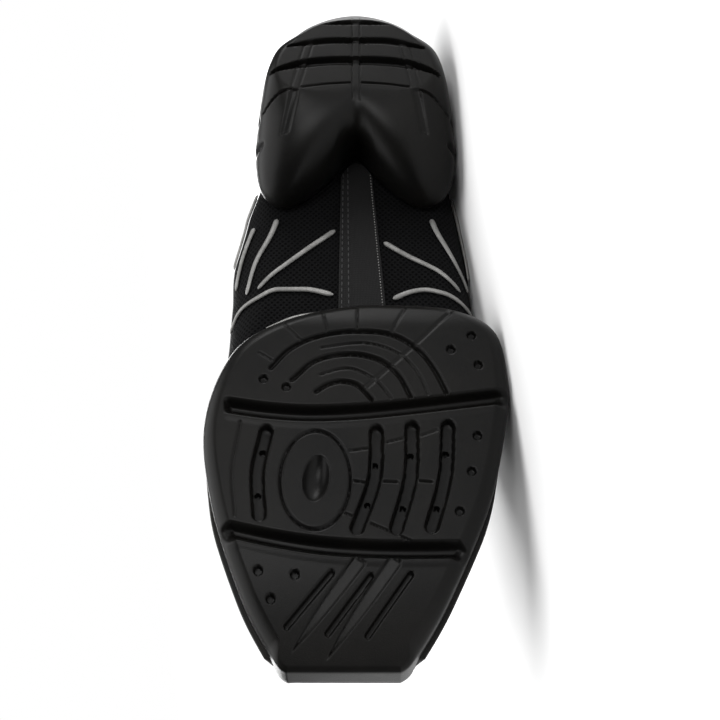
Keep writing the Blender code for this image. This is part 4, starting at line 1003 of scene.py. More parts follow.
def at_heights(outline, height):
    return np.column_stack([outline, np.broadcast_to(height, len(outline))])


def behind_platform(outline):
    return np.column_stack([np.minimum(outline[:, 0], PLATFORM_BACK - GAP), outline[:, 1]])


def ring_faces(loops):
    """Quads between loops of equally many points, and triangles to a first or last single point."""
    faces, start = [], 0
    for loop, other in zip(loops, loops[1:]):
        count, following = max(len(loop), len(other)), start + len(loop)
        j = np.arange(count)
        k = (j + 1) % count
        if len(loop) == 1:
            faces += np.stack([np.full(count, start), following + j, following + k], axis=1).tolist()
        elif len(other) == 1:
            faces += np.stack([start + j, start + k, np.full(count, following)], axis=1).tolist()
        else:
            faces += np.stack([start + j, start + k, following + k, following + j], axis=1).tolist()
        start = following
    return faces


def rubber(name, colour, gloss, grain=2400.0):
    """Moulded rubber: a fine mould texture, cloudy gloss from handling and light scuffs on the high spots."""
    finish, tree, shader, place = new_finish(name)
    where = place.outputs["Object"]
    fine = noise(tree, where, grain, 2.0, 0.6)
    cloudy = noise(tree, where, 38.0, 4.0, 0.6)
    scuffs = between(tree, noise(tree, where, 260.0, 6.0, 0.75), 0.60, 0.78)
    brown = tuple(c * f for c, f in zip(colour, (1.45, 1.38, 1.28), strict=True))
    shade = blend_colours(tree, between(tree, cloudy, 0.35, 0.7), colour, brown)
    pale = tuple(c * 2.0 + 0.002 for c in colour)
    shade = blend_colours(tree, maths(tree, "MULTIPLY", scuffs, 0.35), shade, pale)
    tree.links.new(shade, shader.inputs["Base Color"])
    rough = maths(tree, "MULTIPLY_ADD", cloudy, 0.16, gloss - 0.08)
    tree.links.new(maths(tree, "MULTIPLY_ADD", scuffs, 0.10, rough), shader.inputs["Roughness"])
    shader.inputs["Specular IOR Level"].default_value = 0.12
    bumped(tree, shader, maths(tree, "MULTIPLY_ADD", scuffs, -0.3, fine), 0.22, 0.00022)
    return finish


def last_cutter():
    """The upper's lower half, a seat's gap larger, which hollows the soles' tops."""
    turns = np.linspace(0, 2, 281)[:-1]
    rows = np.linspace(T_FEATHER, T_WIDEST, 14)
    body = lifted(turns[:, None], rows[None], np.full((1, 1), SEAT_GAP))
    body[..., 0] = np.minimum(body[..., 0], PLATFORM_BACK - GAP - 0.001)
    low, high = body[:, :1].copy(), body[:, -1:].copy()
    low[..., 1] = 0
    high[..., 1] = 0
    loops = np.concatenate([low, body, high], axis=1)
    columns = loops.shape[1]
    i, j = np.meshgrid(np.arange(len(turns)), np.arange(columns - 1), indexing="ij")
    a, b = i * columns + j, (i + 1) % len(turns) * columns + j
    faces = np.stack([a, a + 1, b + 1, b], axis=-1).reshape(-1, 4)
    return made("last_cutter", loops, faces, [], merge=2e-5)


def hollowed(piece, cutter):
    """The piece with the last's shape taken out of it, as a plain mesh."""
    change = piece.modifiers.new("seat", "BOOLEAN")
    change.operation = "DIFFERENCE"
    change.solver = "EXACT"
    change.object = cutter
    graph = bpy.context.evaluated_depsgraph_get()
    mesh = bpy.data.meshes.new_from_object(piece.evaluated_get(graph))
    piece.modifiers.clear()
    old, piece.data = piece.data, mesh
    bpy.data.meshes.remove(old)
    mesh.name = piece.name
    mesh.shade_smooth()
    mesh.set_sharp_from_angle(angle=math.radians(38))


ball_centre = np.array([0.74 * LENGTH, 0.0007])
forefoot_plan = [(a * LENGTH, b * BALL_WIDTH) for a, b in FOREFOOT]
outline = closed_curve(forefoot_plan, 420)
flare = MIDSOLE_FLARE * eased((outline[:, 0] / LENGTH - 0.72) / 0.12)
wide = behind_platform(inset(outline, -flare, 3))
narrow = behind_platform(inset(outline, LIP_INSET, 3))
outline = behind_platform(outline)
lip = seat_height(narrow[:, 0]) + CUP_LIP
under = parting_height(wide[:, 0]) + GAP
loops = [np.array([[*ball_centre, parting_height(ball_centre[0]) + GAP]])]
for share in (0.3, 0.55, 0.8):
    plan = towards(outline, ball_centre, share)
    loops.append(at_heights(plan, parting_height(plan[:, 0]) + GAP))
for inward, rise in MIDSOLE_SIDE:
    plan = behind_platform(inset(wide + (narrow - wide) * (rise / 0.9), inward, 3))
    loops.append(at_heights(plan, under + (lip - under) * rise))
for inward, rise in MIDSOLE_LIP:
    plan = behind_platform(inset(narrow, inward, 3))
    loops.append(at_heights(plan, under + (lip - under) * rise))
plan = towards(plan, ball_centre, 0.5)
loops.append(at_heights(plan, seat_height(plan[:, 0]) + CUP_LIP))
loops.append(np.array([[*ball_centre, seat_height(ball_centre[0]) + CUP_LIP]]))
last = last_cutter()
foam = rubber("midsole_foam", FOAM_BLACK, 0.56, 1900.0)
midsole = made("midsole_foam", np.vstack(loops), ring_faces(loops), foam)
hollowed(midsole, last)
settle(midsole, "midsole_rubber", "midsole_forefoot")


# Forefoot outsole: solid black rubber with its whole tread moulded in: two deep grooves that let it bend,
# slots, dimples, rings round the ball and a round spot with a dish under the big toe's joint for turns. It
# ends in a blunt platform to stand on, and is glued under the midsole.
EDGE_WIDTH = 0.0048
EDGE_HEIGHT = 0.0045
RUBBER_BLACK = (0.0030, 0.0029, 0.00275)
ACROSS, ALONG = 244, 300
OUTLINE_POINTS = 4000
# The four corners of the tread's grid on the outline, in metres
TREAD_CORNERS = ((0.151, 0.041), (0.2605, 0.0265), (0.2605, -0.0175), (0.1435, -0.0465))
# Share of the way out and of the height of each loop round the tread's rounded edge
EDGE_SECTION = (
    (0.10, 0.02),
    (0.22, 0.07),
    (0.36, 0.145),
    (0.50, 0.245),
    (0.64, 0.37),
    (0.77, 0.52),
    (0.88, 0.70),
    (0.96, 0.90),
    (1.0, 1.12),
)
# Each deep groove's way across, in millimetres from the middle line and from the heel's back
DEEP_GROOVES = (
    (
        (-48.6, 172.4),
        (-36.8, 173.9),
        (-19.0, 176.2),
        (-1.3, 178.1),
        (14.6, 178.8),
        (29.7, 177.8),
        (43.6, 175.7),
    ),
    ((-34.3, 226.6), (-18.3, 226.8), (-1.3, 226.4), (13.2, 225.2), (28.6, 222.6), (42.9, 219.3)),
)
# A deep groove's section: place along the shoe and depth, with a low ridge on its toe side
GROOVE_SECTION = (
    (-4.2, 0.0),
    (-3.2, 0.12),
    (-2.5, 1.2),
    (-1.7, 3.9),
    (-0.6, 4.5),
    (0.5, 4.3),
    (1.6, 2.6),
    (2.6, 0.6),
    (3.3, -0.22),
    (4.2, -0.18),
    (5.6, 0.0),
)
# The other plan points are in millimetres from the heel's back and from the middle line
SLOTS = (
    ((185.4, 29.7), (200.7, 32.2), (214.7, 31.2)),
    ((185.4, -6.8), (201.6, -6.1), (219.3, -0.4)),
    ((184.0, -18.5), (201.6, -17.8), (219.3, -13.1)),
    ((183.5, -30.4), (201.6, -29.1), (218.8, -24.4)),
)
SLOT_HOLES = (
    (192.1, 30.8),
    (207.4, 32.0),
    (196.7, -6.3),
    (210.7, -3.7),
    (193.3, -17.9),
    (211.9, -15.1),
    (192.4, -29.6),
    (211.9, -26.1),
)
RINGS = (
    (
        2.0,
        1.5,
        (
            (161.8, 28.7),
            (155.2, 23),
            (150.6, 15),
            (148, 0.5),
            (149.4, -12.2),
            (155.2, -21.1),
            (162.8, -26.4),
            (171.2, -30.2),
        ),
    ),
    (1.0, 0.6, ((154.2, 11.8), (152.4, -1.3), (156.2, -13.9), (162.8, -20.1), (171.7, -24.0))),
    (2.0, 1.5, ((166.3, 21.5), (159.3, 14.0), (156.7, 2.3), (159.3, -8.5), (164.8, -14.3), (172.7, -18.2))),
    (1.0, 0.6, ((164.3, 12.1), (162.0, 3.2), (165.3, -4.9), (169.8, -9.3), (173.2, -11.5))),
    (1.9, 1.5, ((170.7, 13.4), (168.0, 9.4), (167.0, 5.0), (168.3, -0.4), (173.7, -5.3))),
)
FINE_LINES = (
    (0.9, 0.5, ((156.2, 32.8), (159.6, 27.6))),
    (0.9, 0.5, ((146.3, 23.7), (151.6, 18.6))),
    (0.9, 0.5, ((139.1, 11.5), (148.3, 10.0))),
    (0.9, 0.5, ((137.5, -0.4), (147.7, -0.4))),
    (1.0, 0.5, ((135.8, -17.9), (149.1, -11.7))),
    (0.8, 0.5, ((138.3, -34.2), (150.6, -22.8), (161.3, -11.9), (170.6, -2.5))),
    (0.8, 0.4, ((139.8, -32.2), (151.6, -20.9), (162.0, -10.2), (168.8, -2.9))),
    (1.0, 0.5, ((182.0, 38.4), (199.7, 40.6), (215.1, 39.1))),
    (0.9, 0.6, ((192.4, 2.2), (191.4, -4.4))),
    (0.9, 0.6, ((189.3, -10.1), (187.8, -15.8))),
    (0.9, 0.6, ((186.9, -21.5), (184.9, -26.8))),
    (0.9, 0.6, ((203.0, 1.3), (203.7, -3.0))),
    (0.9, 0.6, ((203.3, -8.7), (203.5, -13.4))),
    (0.9, 0.6, ((203.0, -20.4), (203.5, -24.7))),
    (0.9, 0.6, ((213.7, 5.1), (215.6, 0.8))),
    (0.9, 0.6, ((217.9, -4.7), (223.8, -17.5))),
)
DIMPLES = (
    (166.0, 31.1),
    (169.0, 23.4),
    (149.6, -39.1),
    (154.9, -32.0),
    (160.8, -41.1),
    (186.9, -40.0),
    (199.7, -37.8),
    (213.6, -33.5),
    (233.4, 31.1),
    (234.6, 19.4),
    (242.2, 27.0),
)
TOE_SLOTS = (
    ((234.2, 7.8), (250.6, 21.8)),
    ((235.1, -4.7), (252.6, 8.8)),
    ((234.6, -17.4), (253.3, -3.8)),
)
TOE_BANDS = (((231.1, -0.5), (259.1, 20.9)), ((231.1, -11.9), (261.5, 10.0)))
SPIN_SPOT = ((202.6, 13.3), (17.3, 11.5))
SPIN_DISH = ((202.1, 13.0), (8.3, 4.4))
DISH_LEAN = 0.13
DISH_DEPTH = 3.0
# Width, depth, width of the sloped wall and share of a rounded floor, in millimetres
SLOT_CUT = (5.4, 3.0, 1.1, 0.3)
TOE_SLOT_CUT = (2.5, 1.7, 0.6, 0.25)
# Radius, depth and width of the sloped wall
DIMPLE_CUT = (1.7, 1.7, 0.6)
SLOT_HOLE_CUT = (1.15, 5.0, 0.4)


def bent_path(points, step=1.2):
    """A smooth open path through the points, as closely spaced points."""
    points = np.array(points, float)
    if len(points) < 3:
        return points
    run = run_along(points)
    return curve(np.column_stack([run, points]), np.linspace(0, run[-1], int(run[-1] / step) + 2))


def distance_to(path, x, y):
    best = np.full(x.shape, 1e9)
    for (x0, y0), (x1, y1) in zip(path, path[1:]):
        dx, dy = x1 - x0, y1 - y0
        share = np.clip(((x - x0) * dx + (y - y0) * dy) / (dx * dx + dy * dy), 0, 1)
        best = np.minimum(best, np.hypot(x - x0 - share * dx, y - y0 - share * dy))
    return best


def sunk(relief, x, y, path, width, deep, wall=0.55, round_floor=0.0, taper=0.0):
    """Deepens the relief along a path, in millimetres, with sloped walls and a flat or rounded floor."""
    path = bent_path(path)
    low, high = path.min(0) - width, path.max(0) + width
    near = (x > low[0]) & (x < high[0]) & (y > low[1]) & (y < high[1])
    away = distance_to(path, x[near], y[near])
    if taper:
        reach_out = np.abs(y[near]) / np.abs(path[:, 1]).max()
        away = away / (1 - taper * eased((reach_out - 0.55) / 0.45))
    shape = 1 - eased((away - (width / 2 - wall)) / wall)
    floor = np.sqrt(np.clip(1 - (away / (width / 2)) ** 2, 0, 1))
    shape *= 1 - round_floor + round_floor * floor
    relief[near] = np.maximum(relief[near], deep * shape)


def spot_sunk(relief, x, y, centre, radius, deep, wall=0.5):
    away = np.hypot(x - centre[0], y - centre[1])
    near = away < radius + 1
    shape = 1 - eased((away[near] - (radius - wall)) / wall)
    relief[near] = np.maximum(relief[near], deep * shape)


def tread_relief(x, y):
    """How far the tread is cut in at plan points in millimetres, itself in millimetres."""
    relief = np.zeros(x.shape)
    for width, deep, path in (*RINGS, *FINE_LINES):
        sunk(relief, x, y, path, width + 0.5, deep, (width + 0.5) / 2)
    for centre in DIMPLES:
        spot_sunk(relief, x, y, centre, *DIMPLE_CUT)
    (cx, cy), (rx, ry) = SPIN_SPOT
    reach = np.maximum(np.hypot((x - cx) / rx, (y - cy) / ry), 1e-6)
    away = np.abs(reach - 1) * np.hypot(x - cx, y - cy) / reach
    relief = np.maximum(relief, 0.9 * (1 - eased(away / 0.9)))
    (cx, cy), (rx, ry) = SPIN_DISH
    dx, dy = x - cx, y - cy
    reach = np.hypot((dx + DISH_LEAN * dy) / rx, (dy - DISH_LEAN * dx) / ry)
    relief = np.maximum(relief, DISH_DEPTH * np.clip(1 - reach**2.2, 0, 1) ** 0.8)
    for (x0, y0), (x1, y1) in TOE_BANDS:
        long = math.hypot(x1 - x0, y1 - y0)
        share = ((x - x0) * (x1 - x0) + (y - y0) * (y1 - y0)) / long**2
        aside = ((y - y0) * (x1 - x0) - (x - x0) * (y1 - y0)) / long
        half = 2.3 * (1 - np.clip(share, 0, 1) ** 2.5)
        ramp = np.clip((aside + half) / np.maximum(2 * half, 0.1), 0, 1)
        inside = eased((half - np.abs(aside)) / 0.45)
        inside = inside * eased((1 - share) / 0.04) * eased((share + 0.06) / 0.03)
        relief = np.maximum(relief, (0.35 + 0.75 * ramp) * inside)
    for path in TOE_SLOTS:
        sunk(relief, x, y, path, *TOE_SLOT_CUT)
    for path in SLOTS:
        sunk(relief, x, y, path, *SLOT_CUT)
    for centre in SLOT_HOLES:
        spot_sunk(relief, x, y, centre, *SLOT_HOLE_CUT)
    for path in DEEP_GROOVES:
        aside = x - curve(path, y)[..., 0]
        ends = eased((y - path[0][0] + 1.0) / 3.0) * eased((path[-1][0] + 1.0 - y) / 3.0)
        depth = curve(GROOVE_SECTION, aside)[..., 0] * ends
        close = np.abs(aside) < 5.8
        relief = np.where(close & (depth > relief), depth, relief)
        relief = np.where(close & (depth < 0) & (relief < 0.05), depth, relief)
    return relief


def nearest(outline, x, y):
    return int(np.argmin(np.hypot(outline[:, 0] - x, outline[:, 1] - y)))


def resampled(path, count):
    run = run_along(path)
    at = np.linspace(0, run[-1], count + 1)
    return np.stack([np.interp(at, run, path[:, 0]), np.interp(at, run, path[:, 1])], axis=1)


fine_outline = closed_curve(forefoot_plan, OUTLINE_POINTS)
fine_outline[:, 0] = np.minimum(fine_outline[:, 0], LENGTH)
corners = [nearest(fine_outline, *spot) for spot in TREAD_CORNERS]
corner_ends = [*corners[1:], corners[0] + OUTLINE_POINTS]
side_counts = (ALONG, ACROSS, ALONG, ACROSS)
stations = []
for first, end, count in zip(corners, corner_ends, side_counts, strict=True):
    span = np.arange(first, end + 1) % OUTLINE_POINTS
    stations.append(resampled(fine_outline[span], count)[:-1])
stations = np.vstack(stations)
blur = 9
edge_width = EDGE_WIDTH - 0.0033 * eased((stations[:, 0] - 0.2560) / 0.0055)
tread_edge = inset(stations, edge_width, blur)
ring = np.vstack([tread_edge, tread_edge[:1]])
sides = [ring[end - count : end + 1] for end, count in zip(np.cumsum(side_counts), side_counts, strict=True)]
inner, toe, outer, rear = sides[0], sides[1], sides[2][::-1], sides[3][::-1]
u = np.linspace(0, 1, ACROSS + 1)[:, None, None]
v = np.linspace(0, 1, ALONG + 1)[None, :, None]
plan = (1 - v) * rear[:, None] + v * toe[:, None] + (1 - u) * inner[None] + u * outer[None]
plan -= (1 - u) * (1 - v) * rear[0] + u * (1 - v) * rear[-1] + (1 - u) * v * toe[0] + u * v * toe[-1]
relief = tread_relief(plan[..., 0] * 1000, plan[..., 1] * 1000) / 1000
tread = np.concatenate([plan, (ground_height(plan[..., 0]) + relief)[..., None]], axis=-1)
pad_faces = grid_faces(ACROSS + 1, ALONG + 1)
last_row, last_column = ACROSS * (ALONG + 1), ALONG
rim_index = np.concatenate(
    [
        np.arange(ALONG),
        np.arange(ACROSS) * (ALONG + 1) + last_column,
        last_row + ALONG - np.arange(ALONG),
        (ACROSS - np.arange(ACROSS)) * (ALONG + 1),
    ]
)
loops = [tread.reshape(-1, 3)[rim_index]]
floor = ground_height(tread_edge[:, 0])
rim_relief = loops[0][:, 2] - floor
for out, rise in EDGE_SECTION:
    plan = inset(stations, edge_width * (1 - out), blur)
    height = ground_height(plan[:, 0]) + rise * EDGE_HEIGHT * edge_width / EDGE_WIDTH
    loops.append(at_heights(plan, height + rim_relief * (1 - out)))
platform = eased((stations[:, 0] - PLATFORM_BACK) / (PLATFORM_DEPTH * 0.6))
tops = parting_height(stations[:, 0])
tops = tops + (PLATFORM_HEIGHT - tops) * platform
start = loops[-1][:, 2]
for share in (0.12, 0.3, 0.5, 0.7, 0.88, 1.0):
    loops.append(at_heights(stations, start + (tops - start) * share))
loops[-1] = at_heights(inset(stations, 0.0004, blur), tops)
behind = stations.copy()
behind[:, 0] = np.minimum(stations[:, 0], PLATFORM_BACK)
loops.append(at_heights(behind, tops))
loops.append(at_heights(behind, parting_height(behind[:, 0])))
for share in (0.8, 0.4):
    plan = towards(behind, ball_centre, share)
    loops.append(at_heights(plan, parting_height(plan[:, 0])))
loops.append(np.array([[*ball_centre, parting_height(ball_centre[0])]]))
wall_faces = np.array([face for face in ring_faces(loops) if len(face) == 4])
cap_faces = np.array([face for face in ring_faces(loops) if len(face) == 3])
pad_count = tread.reshape(-1, 3).shape[0]
outsole = made(
    "outsole_tread",
    np.vstack([tread.reshape(-1, 3), *loops]),
    [*pad_faces, *(wall_faces + pad_count), *(cap_faces + pad_count)],
    rubber("outsole_rubber", RUBBER_BLACK, 0.36),
    sharp=50,
    merge=2e-6,
)
settle(outsole, "sole_rubber", "outsole_forefoot")


# Heel unit: one rubber moulding with a small tread that wraps up round the back, two rounded lobes that
# reach under the arch with a cleft between them, and a cup for the heel. It is glued on by itself.
HEEL_WIDTH = 0.075
HEEL_CENTRE = 0.150
HEEL_BULGE_BACK = 0.016
HEEL_BULGE_FRONT = 0.026
HEEL_BACK_BEVEL = 0.75
HEEL_REACH = 0.31
HEEL = (
    (0.006, 0.010),
    (0.023, 0.220),
    (0.053, 0.350),
    (0.114, 0.447),
    (0.190, 0.497),
    (0.250, 0.505),
    (0.292, 0.465),
    (0.311, 0.365),
    (0.299, 0.255),
    (0.265, 0.130),
    (0.222, 0.015),
    (0.265, -0.115),
    (0.299, -0.240),
    (0.311, -0.350),
    (0.290, -0.450),
    (0.243, -0.492),
    (0.182, -0.480),
    (0.106, -0.432),
    (0.053, -0.335),
    (0.023, -0.205),
)
HEEL_TREAD = (
    (0.058, 0.000),
    (0.067, 0.180),
    (0.098, 0.320),
    (0.140, 0.385),
    (0.172, 0.330),
    (0.180, 0.180),
    (0.172, 0.005),
    (0.180, -0.170),
    (0.172, -0.320),
    (0.140, -0.372),
    (0.098, -0.310),
    (0.067, -0.172),
)
HEEL_CHANNELS = (
    (2.2, 1.6, ((17.4, 13.5), (16.9, 7.0), (16.9, 0.0), (16.9, -7.0), (17.4, -13.5))),
    (3.2, 2.6, ((27.6, 25.5), (26.2, 18.0), (25.2, 8.0), (25.2, -8.0), (26.4, -17.0), (28.5, -25.0))),
    (
        4.4,
        3.4,
        (
            (39.0, 31.5),
            (36.2, 22.5),
            (34.7, 12.0),
            (34.4, 0.0),
            (34.9, -12.0),
            (36.6, -21.5),
            (40.2, -30.5),
        ),
    ),
)
HEEL_LINES = (
    (1.1, 0.8, ((52.0, 34.6), (48.2, 28.6), (46.9, 23.9))),
    (1.1, 0.8, ((46.2, 20.0), (44.9, 11.0), (44.3, 2.4))),
    (1.1, 0.8, ((44.3, -2.0), (44.9, -10.5), (46.2, -19.2))),
    (1.1, 0.8, ((47.3, -22.9), (48.8, -27.5), (52.6, -33.6))),
)
HEEL_STRIPS = (
    ((19.0, 15.9), (30.0, 18.6), (39.7, 21.0), (50.0, 23.2), (62.5, 26.2)),
    ((19.0, -15.4), (30.0, -18.3), (39.7, -20.5), (50.0, -22.5), (62.5, -25.0)),
)
FLUTES = (52.5, 62.8)
SPOKES = 520
TREAD_LOOPS = 62
HEEL_LIP = CUP_LIP * 0.9
# Inset and share of the height of each loop up the heel's side, then over its lip
HEEL_SIDE = (
    (0.0001, 0.15),
    (0.0002, 0.3),
    (0.0004, 0.5),
    (0.0006, 0.68),
    (0.0009, 0.84),
    (0.0012, 0.93),
)
HEEL_EDGE = ((0.0018, 0.985), (0.0030, 1.0), (0.006, 1.0), (0.009, 1.0))


def heel_relief(points):
    """How far the heel is cut in at points of its underside and sides, in millimetres."""
    x, y, z = (points * 1000).transpose(2, 0, 1)
    relief = np.zeros(x.shape)
    for width, deep, path in HEEL_CHANNELS:
        sunk(relief, x, y, path, width, deep, 0.9, 0.2, taper=0.6)
    bridge = 1 - 0.42 * (1 - eased((np.abs(y - 0.25) - 1.1) / 0.5))
    for path in HEEL_STRIPS:
        away = distance_to(bent_path(path), x, y)
        bridge = np.minimum(bridge, 1 - 0.28 * (1 - eased((away - 0.9) / 0.5)))
    relief *= bridge
    for width, deep, path in HEEL_LINES:
        sunk(relief, x, y, path, width + 0.3, deep, (width + 0.3) / 2)
    for at in (1.65, -1.15):
        sunk(relief, x, y, ((14.0, at), (51.0, at)), 1.0, 0.28, 0.5)
    for path in HEEL_STRIPS:
        way = bent_path(path)
        away = distance_to(way, x, y)
        edge_line = 0.30 * (1 - eased(np.abs(away - 1.45) / 0.5)) * eased((63.2 - x) / 0.6)
        relief = np.maximum(relief, edge_line * eased((x - 25.0) / 2.5))
        inside = (1 - eased((away - 1.1) / 0.5)) * eased((x - 46.5) / 1.5) * eased((63.4 - x) / 0.7)
        relief = np.maximum(relief, 0.8 * inside)
    for at in FLUTES:
        along = np.exp(-(((x - at) / 1.15) ** 2))
        up_side = eased((z - 11) / 4) * eased((34 - z) / 5) * (np.abs(y) > 26)
        relief = np.maximum(relief, 1.5 * along * up_side)
    return relief


heel_centre = np.array([HEEL_CENTRE * LENGTH, 0.0005])
widest = closed_curve([(a * LENGTH, b * HEEL_WIDTH) for a, b in HEEL], 2400)
small = closed_curve([(a * LENGTH, b * HEEL_WIDTH) for a, b in HEEL_TREAD], 2400)
rim = closed_curve([(a * LENGTH, b * HEEL_WIDTH) for a, b in HEEL], SPOKES)
spokes = np.arctan2(rim[:, 1] - heel_centre[1], rim[:, 0] - heel_centre[0])
aim = np.stack([np.cos(spokes), np.sin(spokes)], axis=1)


def reach(outline, angle):
    offset = outline - heel_centre
    angles = np.arctan2(offset[:, 1], offset[:, 0])
    order = np.argsort(angles)
    return np.interp(angle, angles[order], np.hypot(*offset[order].T), period=math.tau)


def softened(outline, angle):
    """The reach averaged over the neighbouring directions, which rounds off notches and corners."""
    total, weights = 0.0, 0.0
    for step in range(-6, 7):
        weight = math.exp(-((step * 5 / 14) ** 2) / 2)
        total = total + weight * reach(outline, angle + math.radians(step * 5))
        weights += weight
    return total / weights


def bulge_height(x):
    return HEEL_BULGE_BACK + (HEEL_BULGE_FRONT - HEEL_BULGE_BACK) * x / (HEEL_REACH * LENGTH)


def heel_loop(distance, share):
    """A loop of the heel's side, inset from its widest line at a share of the way up to its lip."""
    plan = inset(rim, distance, 3)
    low = bulge_height(plan[:, 0])
    return at_heights(plan, low + (lip_height - low) * share)


far, near, full = reach(widest, spokes), reach(small, spokes), softened(widest, spokes)
bevel = HEEL_BACK_BEVEL * eased((-np.cos(spokes) - 0.35) / 0.45)
shares = np.linspace(0.012, 1.0, TREAD_LOOPS)
sheet = [at_heights(heel_centre + aim * (near * share)[:, None], 0.0) for share in shares]
for angle in np.linspace(0, math.pi / 2, TREAD_LOOPS)[1:]:
    widening = math.sin(angle)
    spread = full + (far - full) * widening**4
    plan = heel_centre + aim * (near + (spread - near) * widening)[:, None]
    rise = (1 - bevel) * (1 - math.cos(angle)) + bevel * widening
    sheet.append(at_heights(plan, bulge_height(plan[:, 0]) * rise))
lip_height = seat_height(rim[:, 0]) + HEEL_LIP * (1 - eased((rim[:, 0] / LENGTH - 0.17) / 0.11))
sheet += [heel_loop(*station) for station in HEEL_SIDE]
grid = np.stack(sheet)
round_way = np.roll(grid, -1, 1) - np.roll(grid, 1, 1)
outward_way = np.gradient(grid, axis=0)
normals = unit(np.cross(outward_way, round_way))
radial = grid[..., :2] - heel_centre
facing = np.einsum("ijk,ijk->ij", normals[..., :2], radial) - normals[..., 2] * 0.01
normals *= np.where(facing < 0, -1, 1)[..., None]
grid = grid - normals * (heel_relief(grid) / 1000)[..., None]
loops = [np.array([[*heel_centre, grid[0, :, 2].mean()]]), *grid]
loops += [heel_loop(*station) for station in HEEL_EDGE]
loops.append(at_heights(towards(loops[-1][:, :2], heel_centre, 0.5), lip_height))
loops.append(np.array([[*heel_centre, seat_height(heel_centre[0]) + HEEL_LIP]]))
heel_rubber = rubber("heel_rubber", RUBBER_BLACK, 0.34)
heel = made("heel_rubber", np.vstack(loops), ring_faces(loops), heel_rubber, sharp=50)
hollowed(heel, last)
settle(heel, "sole_rubber", "heel")
bpy.data.objects.remove(last, do_unlink=True)


# Tongue: a foam pad faced with the same spacer mesh, bound at its edge and stitched in under the throat. It
# follows the inside of the upper and stands free above the instep.
TONGUE_THICKNESS = 0.005
TONGUE_CLEARANCE = 0.0009
TONGUE_SPAN = (0.715, 0.445)
TONGUE_RISE = 0.030
TONGUE_CROWN = 0.0006
TONGUE_ROWS, TONGUE_COLUMNS = 141, 61
QUILT_PITCH = 0.021
QUILT_WIDTH = 0.0007
TONGUE_PAD = (0.55, 0.85, 1.0, 1.0, 1.0, 0.85, 0.55)
# Share of the free end's rise, share of the width and lean towards the toe of each row above the throat
TONGUE_TOP = (
    (0.15, 0.93, 0.0),
    (0.3, 0.86, 0.0006),
    (0.6, 0.84, 0.0014),
    (0.82, 0.83, 0.0024),
    (0.95, 0.74, 0.0032),
    (1.0, 0.55, 0.0035),
)
BINDING_WIDTH = 0.0042


def resurfaced(grid, rows, columns):
    """A coarse grid of points made fine on smooth curves both ways."""
    grid = np.asarray(grid, float)
    for count in (rows, columns):
        table = np.column_stack([np.arange(len(grid)), grid.reshape(len(grid), -1)])
        fine = curve(table, np.linspace(0, len(grid) - 1, count))
        grid = fine.reshape(count, grid.shape[1], 3).transpose(1, 0, 2)
    return grid


outer_rows, inner_rows = [], []
drop = WALL + TONGUE_CLEARANCE
levels = np.array([0.86, 0.93, 0.985])
for along in np.linspace(*TONGUE_SPAN, 10):
    left = lifted(np.full(3, turn_of(along, MEDIAL)), levels, np.full(3, -drop))
    right = lifted(np.full(3, turn_of(along, LATERAL)), levels, np.full(3, -drop))
    middle = (left[-1] + right[-1]) / 2 + np.array([0, 0, TONGUE_CROWN])
    outer_rows.append(np.vstack([left, middle[None], right[::-1]]))
    inner_rows.append(outer_rows[-1] - np.array([0, 0, TONGUE_THICKNESS]) * np.array(TONGUE_PAD)[:, None])
climb = unit(outer_rows[-1][3] - outer_rows[-3][3])
out, back = outer_rows[-1], inner_rows[-1]
for share, spread, lean in TONGUE_TOP:
    shift = climb * (share * TONGUE_RISE) + np.array([lean, 0, 0])
    for rows, source, other, pinch in (
        (outer_rows, out, back, 0.0),
        (inner_rows, back, out, 0.32 * share**6),
    ):
        row = source + (other - source) * pinch + shift
        row[:, 1] = source[3, 1] + (row[:, 1] - source[3, 1]) * spread
        rows.append(row)
outer_face = resurfaced(outer_rows, TONGUE_ROWS, TONGUE_COLUMNS)
inner_face = resurfaced(inner_rows, TONGUE_ROWS, TONGUE_COLUMNS)
run, rise, edge = sheet_measures(outer_face)
fullness = 0.12 + 0.88 * end_rounding(edge / 0.0028)
fullness *= 1 - 0.30 * np.exp(-(((edge - BINDING_WIDTH) / QUILT_WIDTH) ** 2))
quilted = np.exp(-((run % QUILT_PITCH - QUILT_PITCH / 2) ** 2) / QUILT_WIDTH**2)
pillow = 1 - 0.10 * quilted * (edge > BINDING_WIDTH + 0.001)
middle_face = (outer_face + inner_face) / 2
half = (outer_face - inner_face) / 2 * (fullness * pillow)[..., None]
outer_face, inner_face = middle_face + half, middle_face - half
tongue = closed_sheet("tongue_pad", outer_face, inner_face, run, rise, mesh_cloth("tongue_mesh"), sharp=80)
settle(tongue, "lining_cloth", "tongue")
seam = []
for k in (4, TONGUE_COLUMNS - 5):
    spots = outer_face[6:-7, k]
    ahead = np.gradient(spots, axis=0)
    side = outer_face[6:-7, k + 1] - outer_face[6:-7, k - 1]
    up = unit(np.cross(ahead, side))
    up *= np.where(up[:, 2:] < 0, -1, 1)
    seam.append((spots + up * 0.00005, up, 1.0))
tongue_seam = grown(path_object("tongue_seam", seam), stitches, {}, black_thread, "tongue_stitches")
settle(tongue_seam, "lining_cloth")


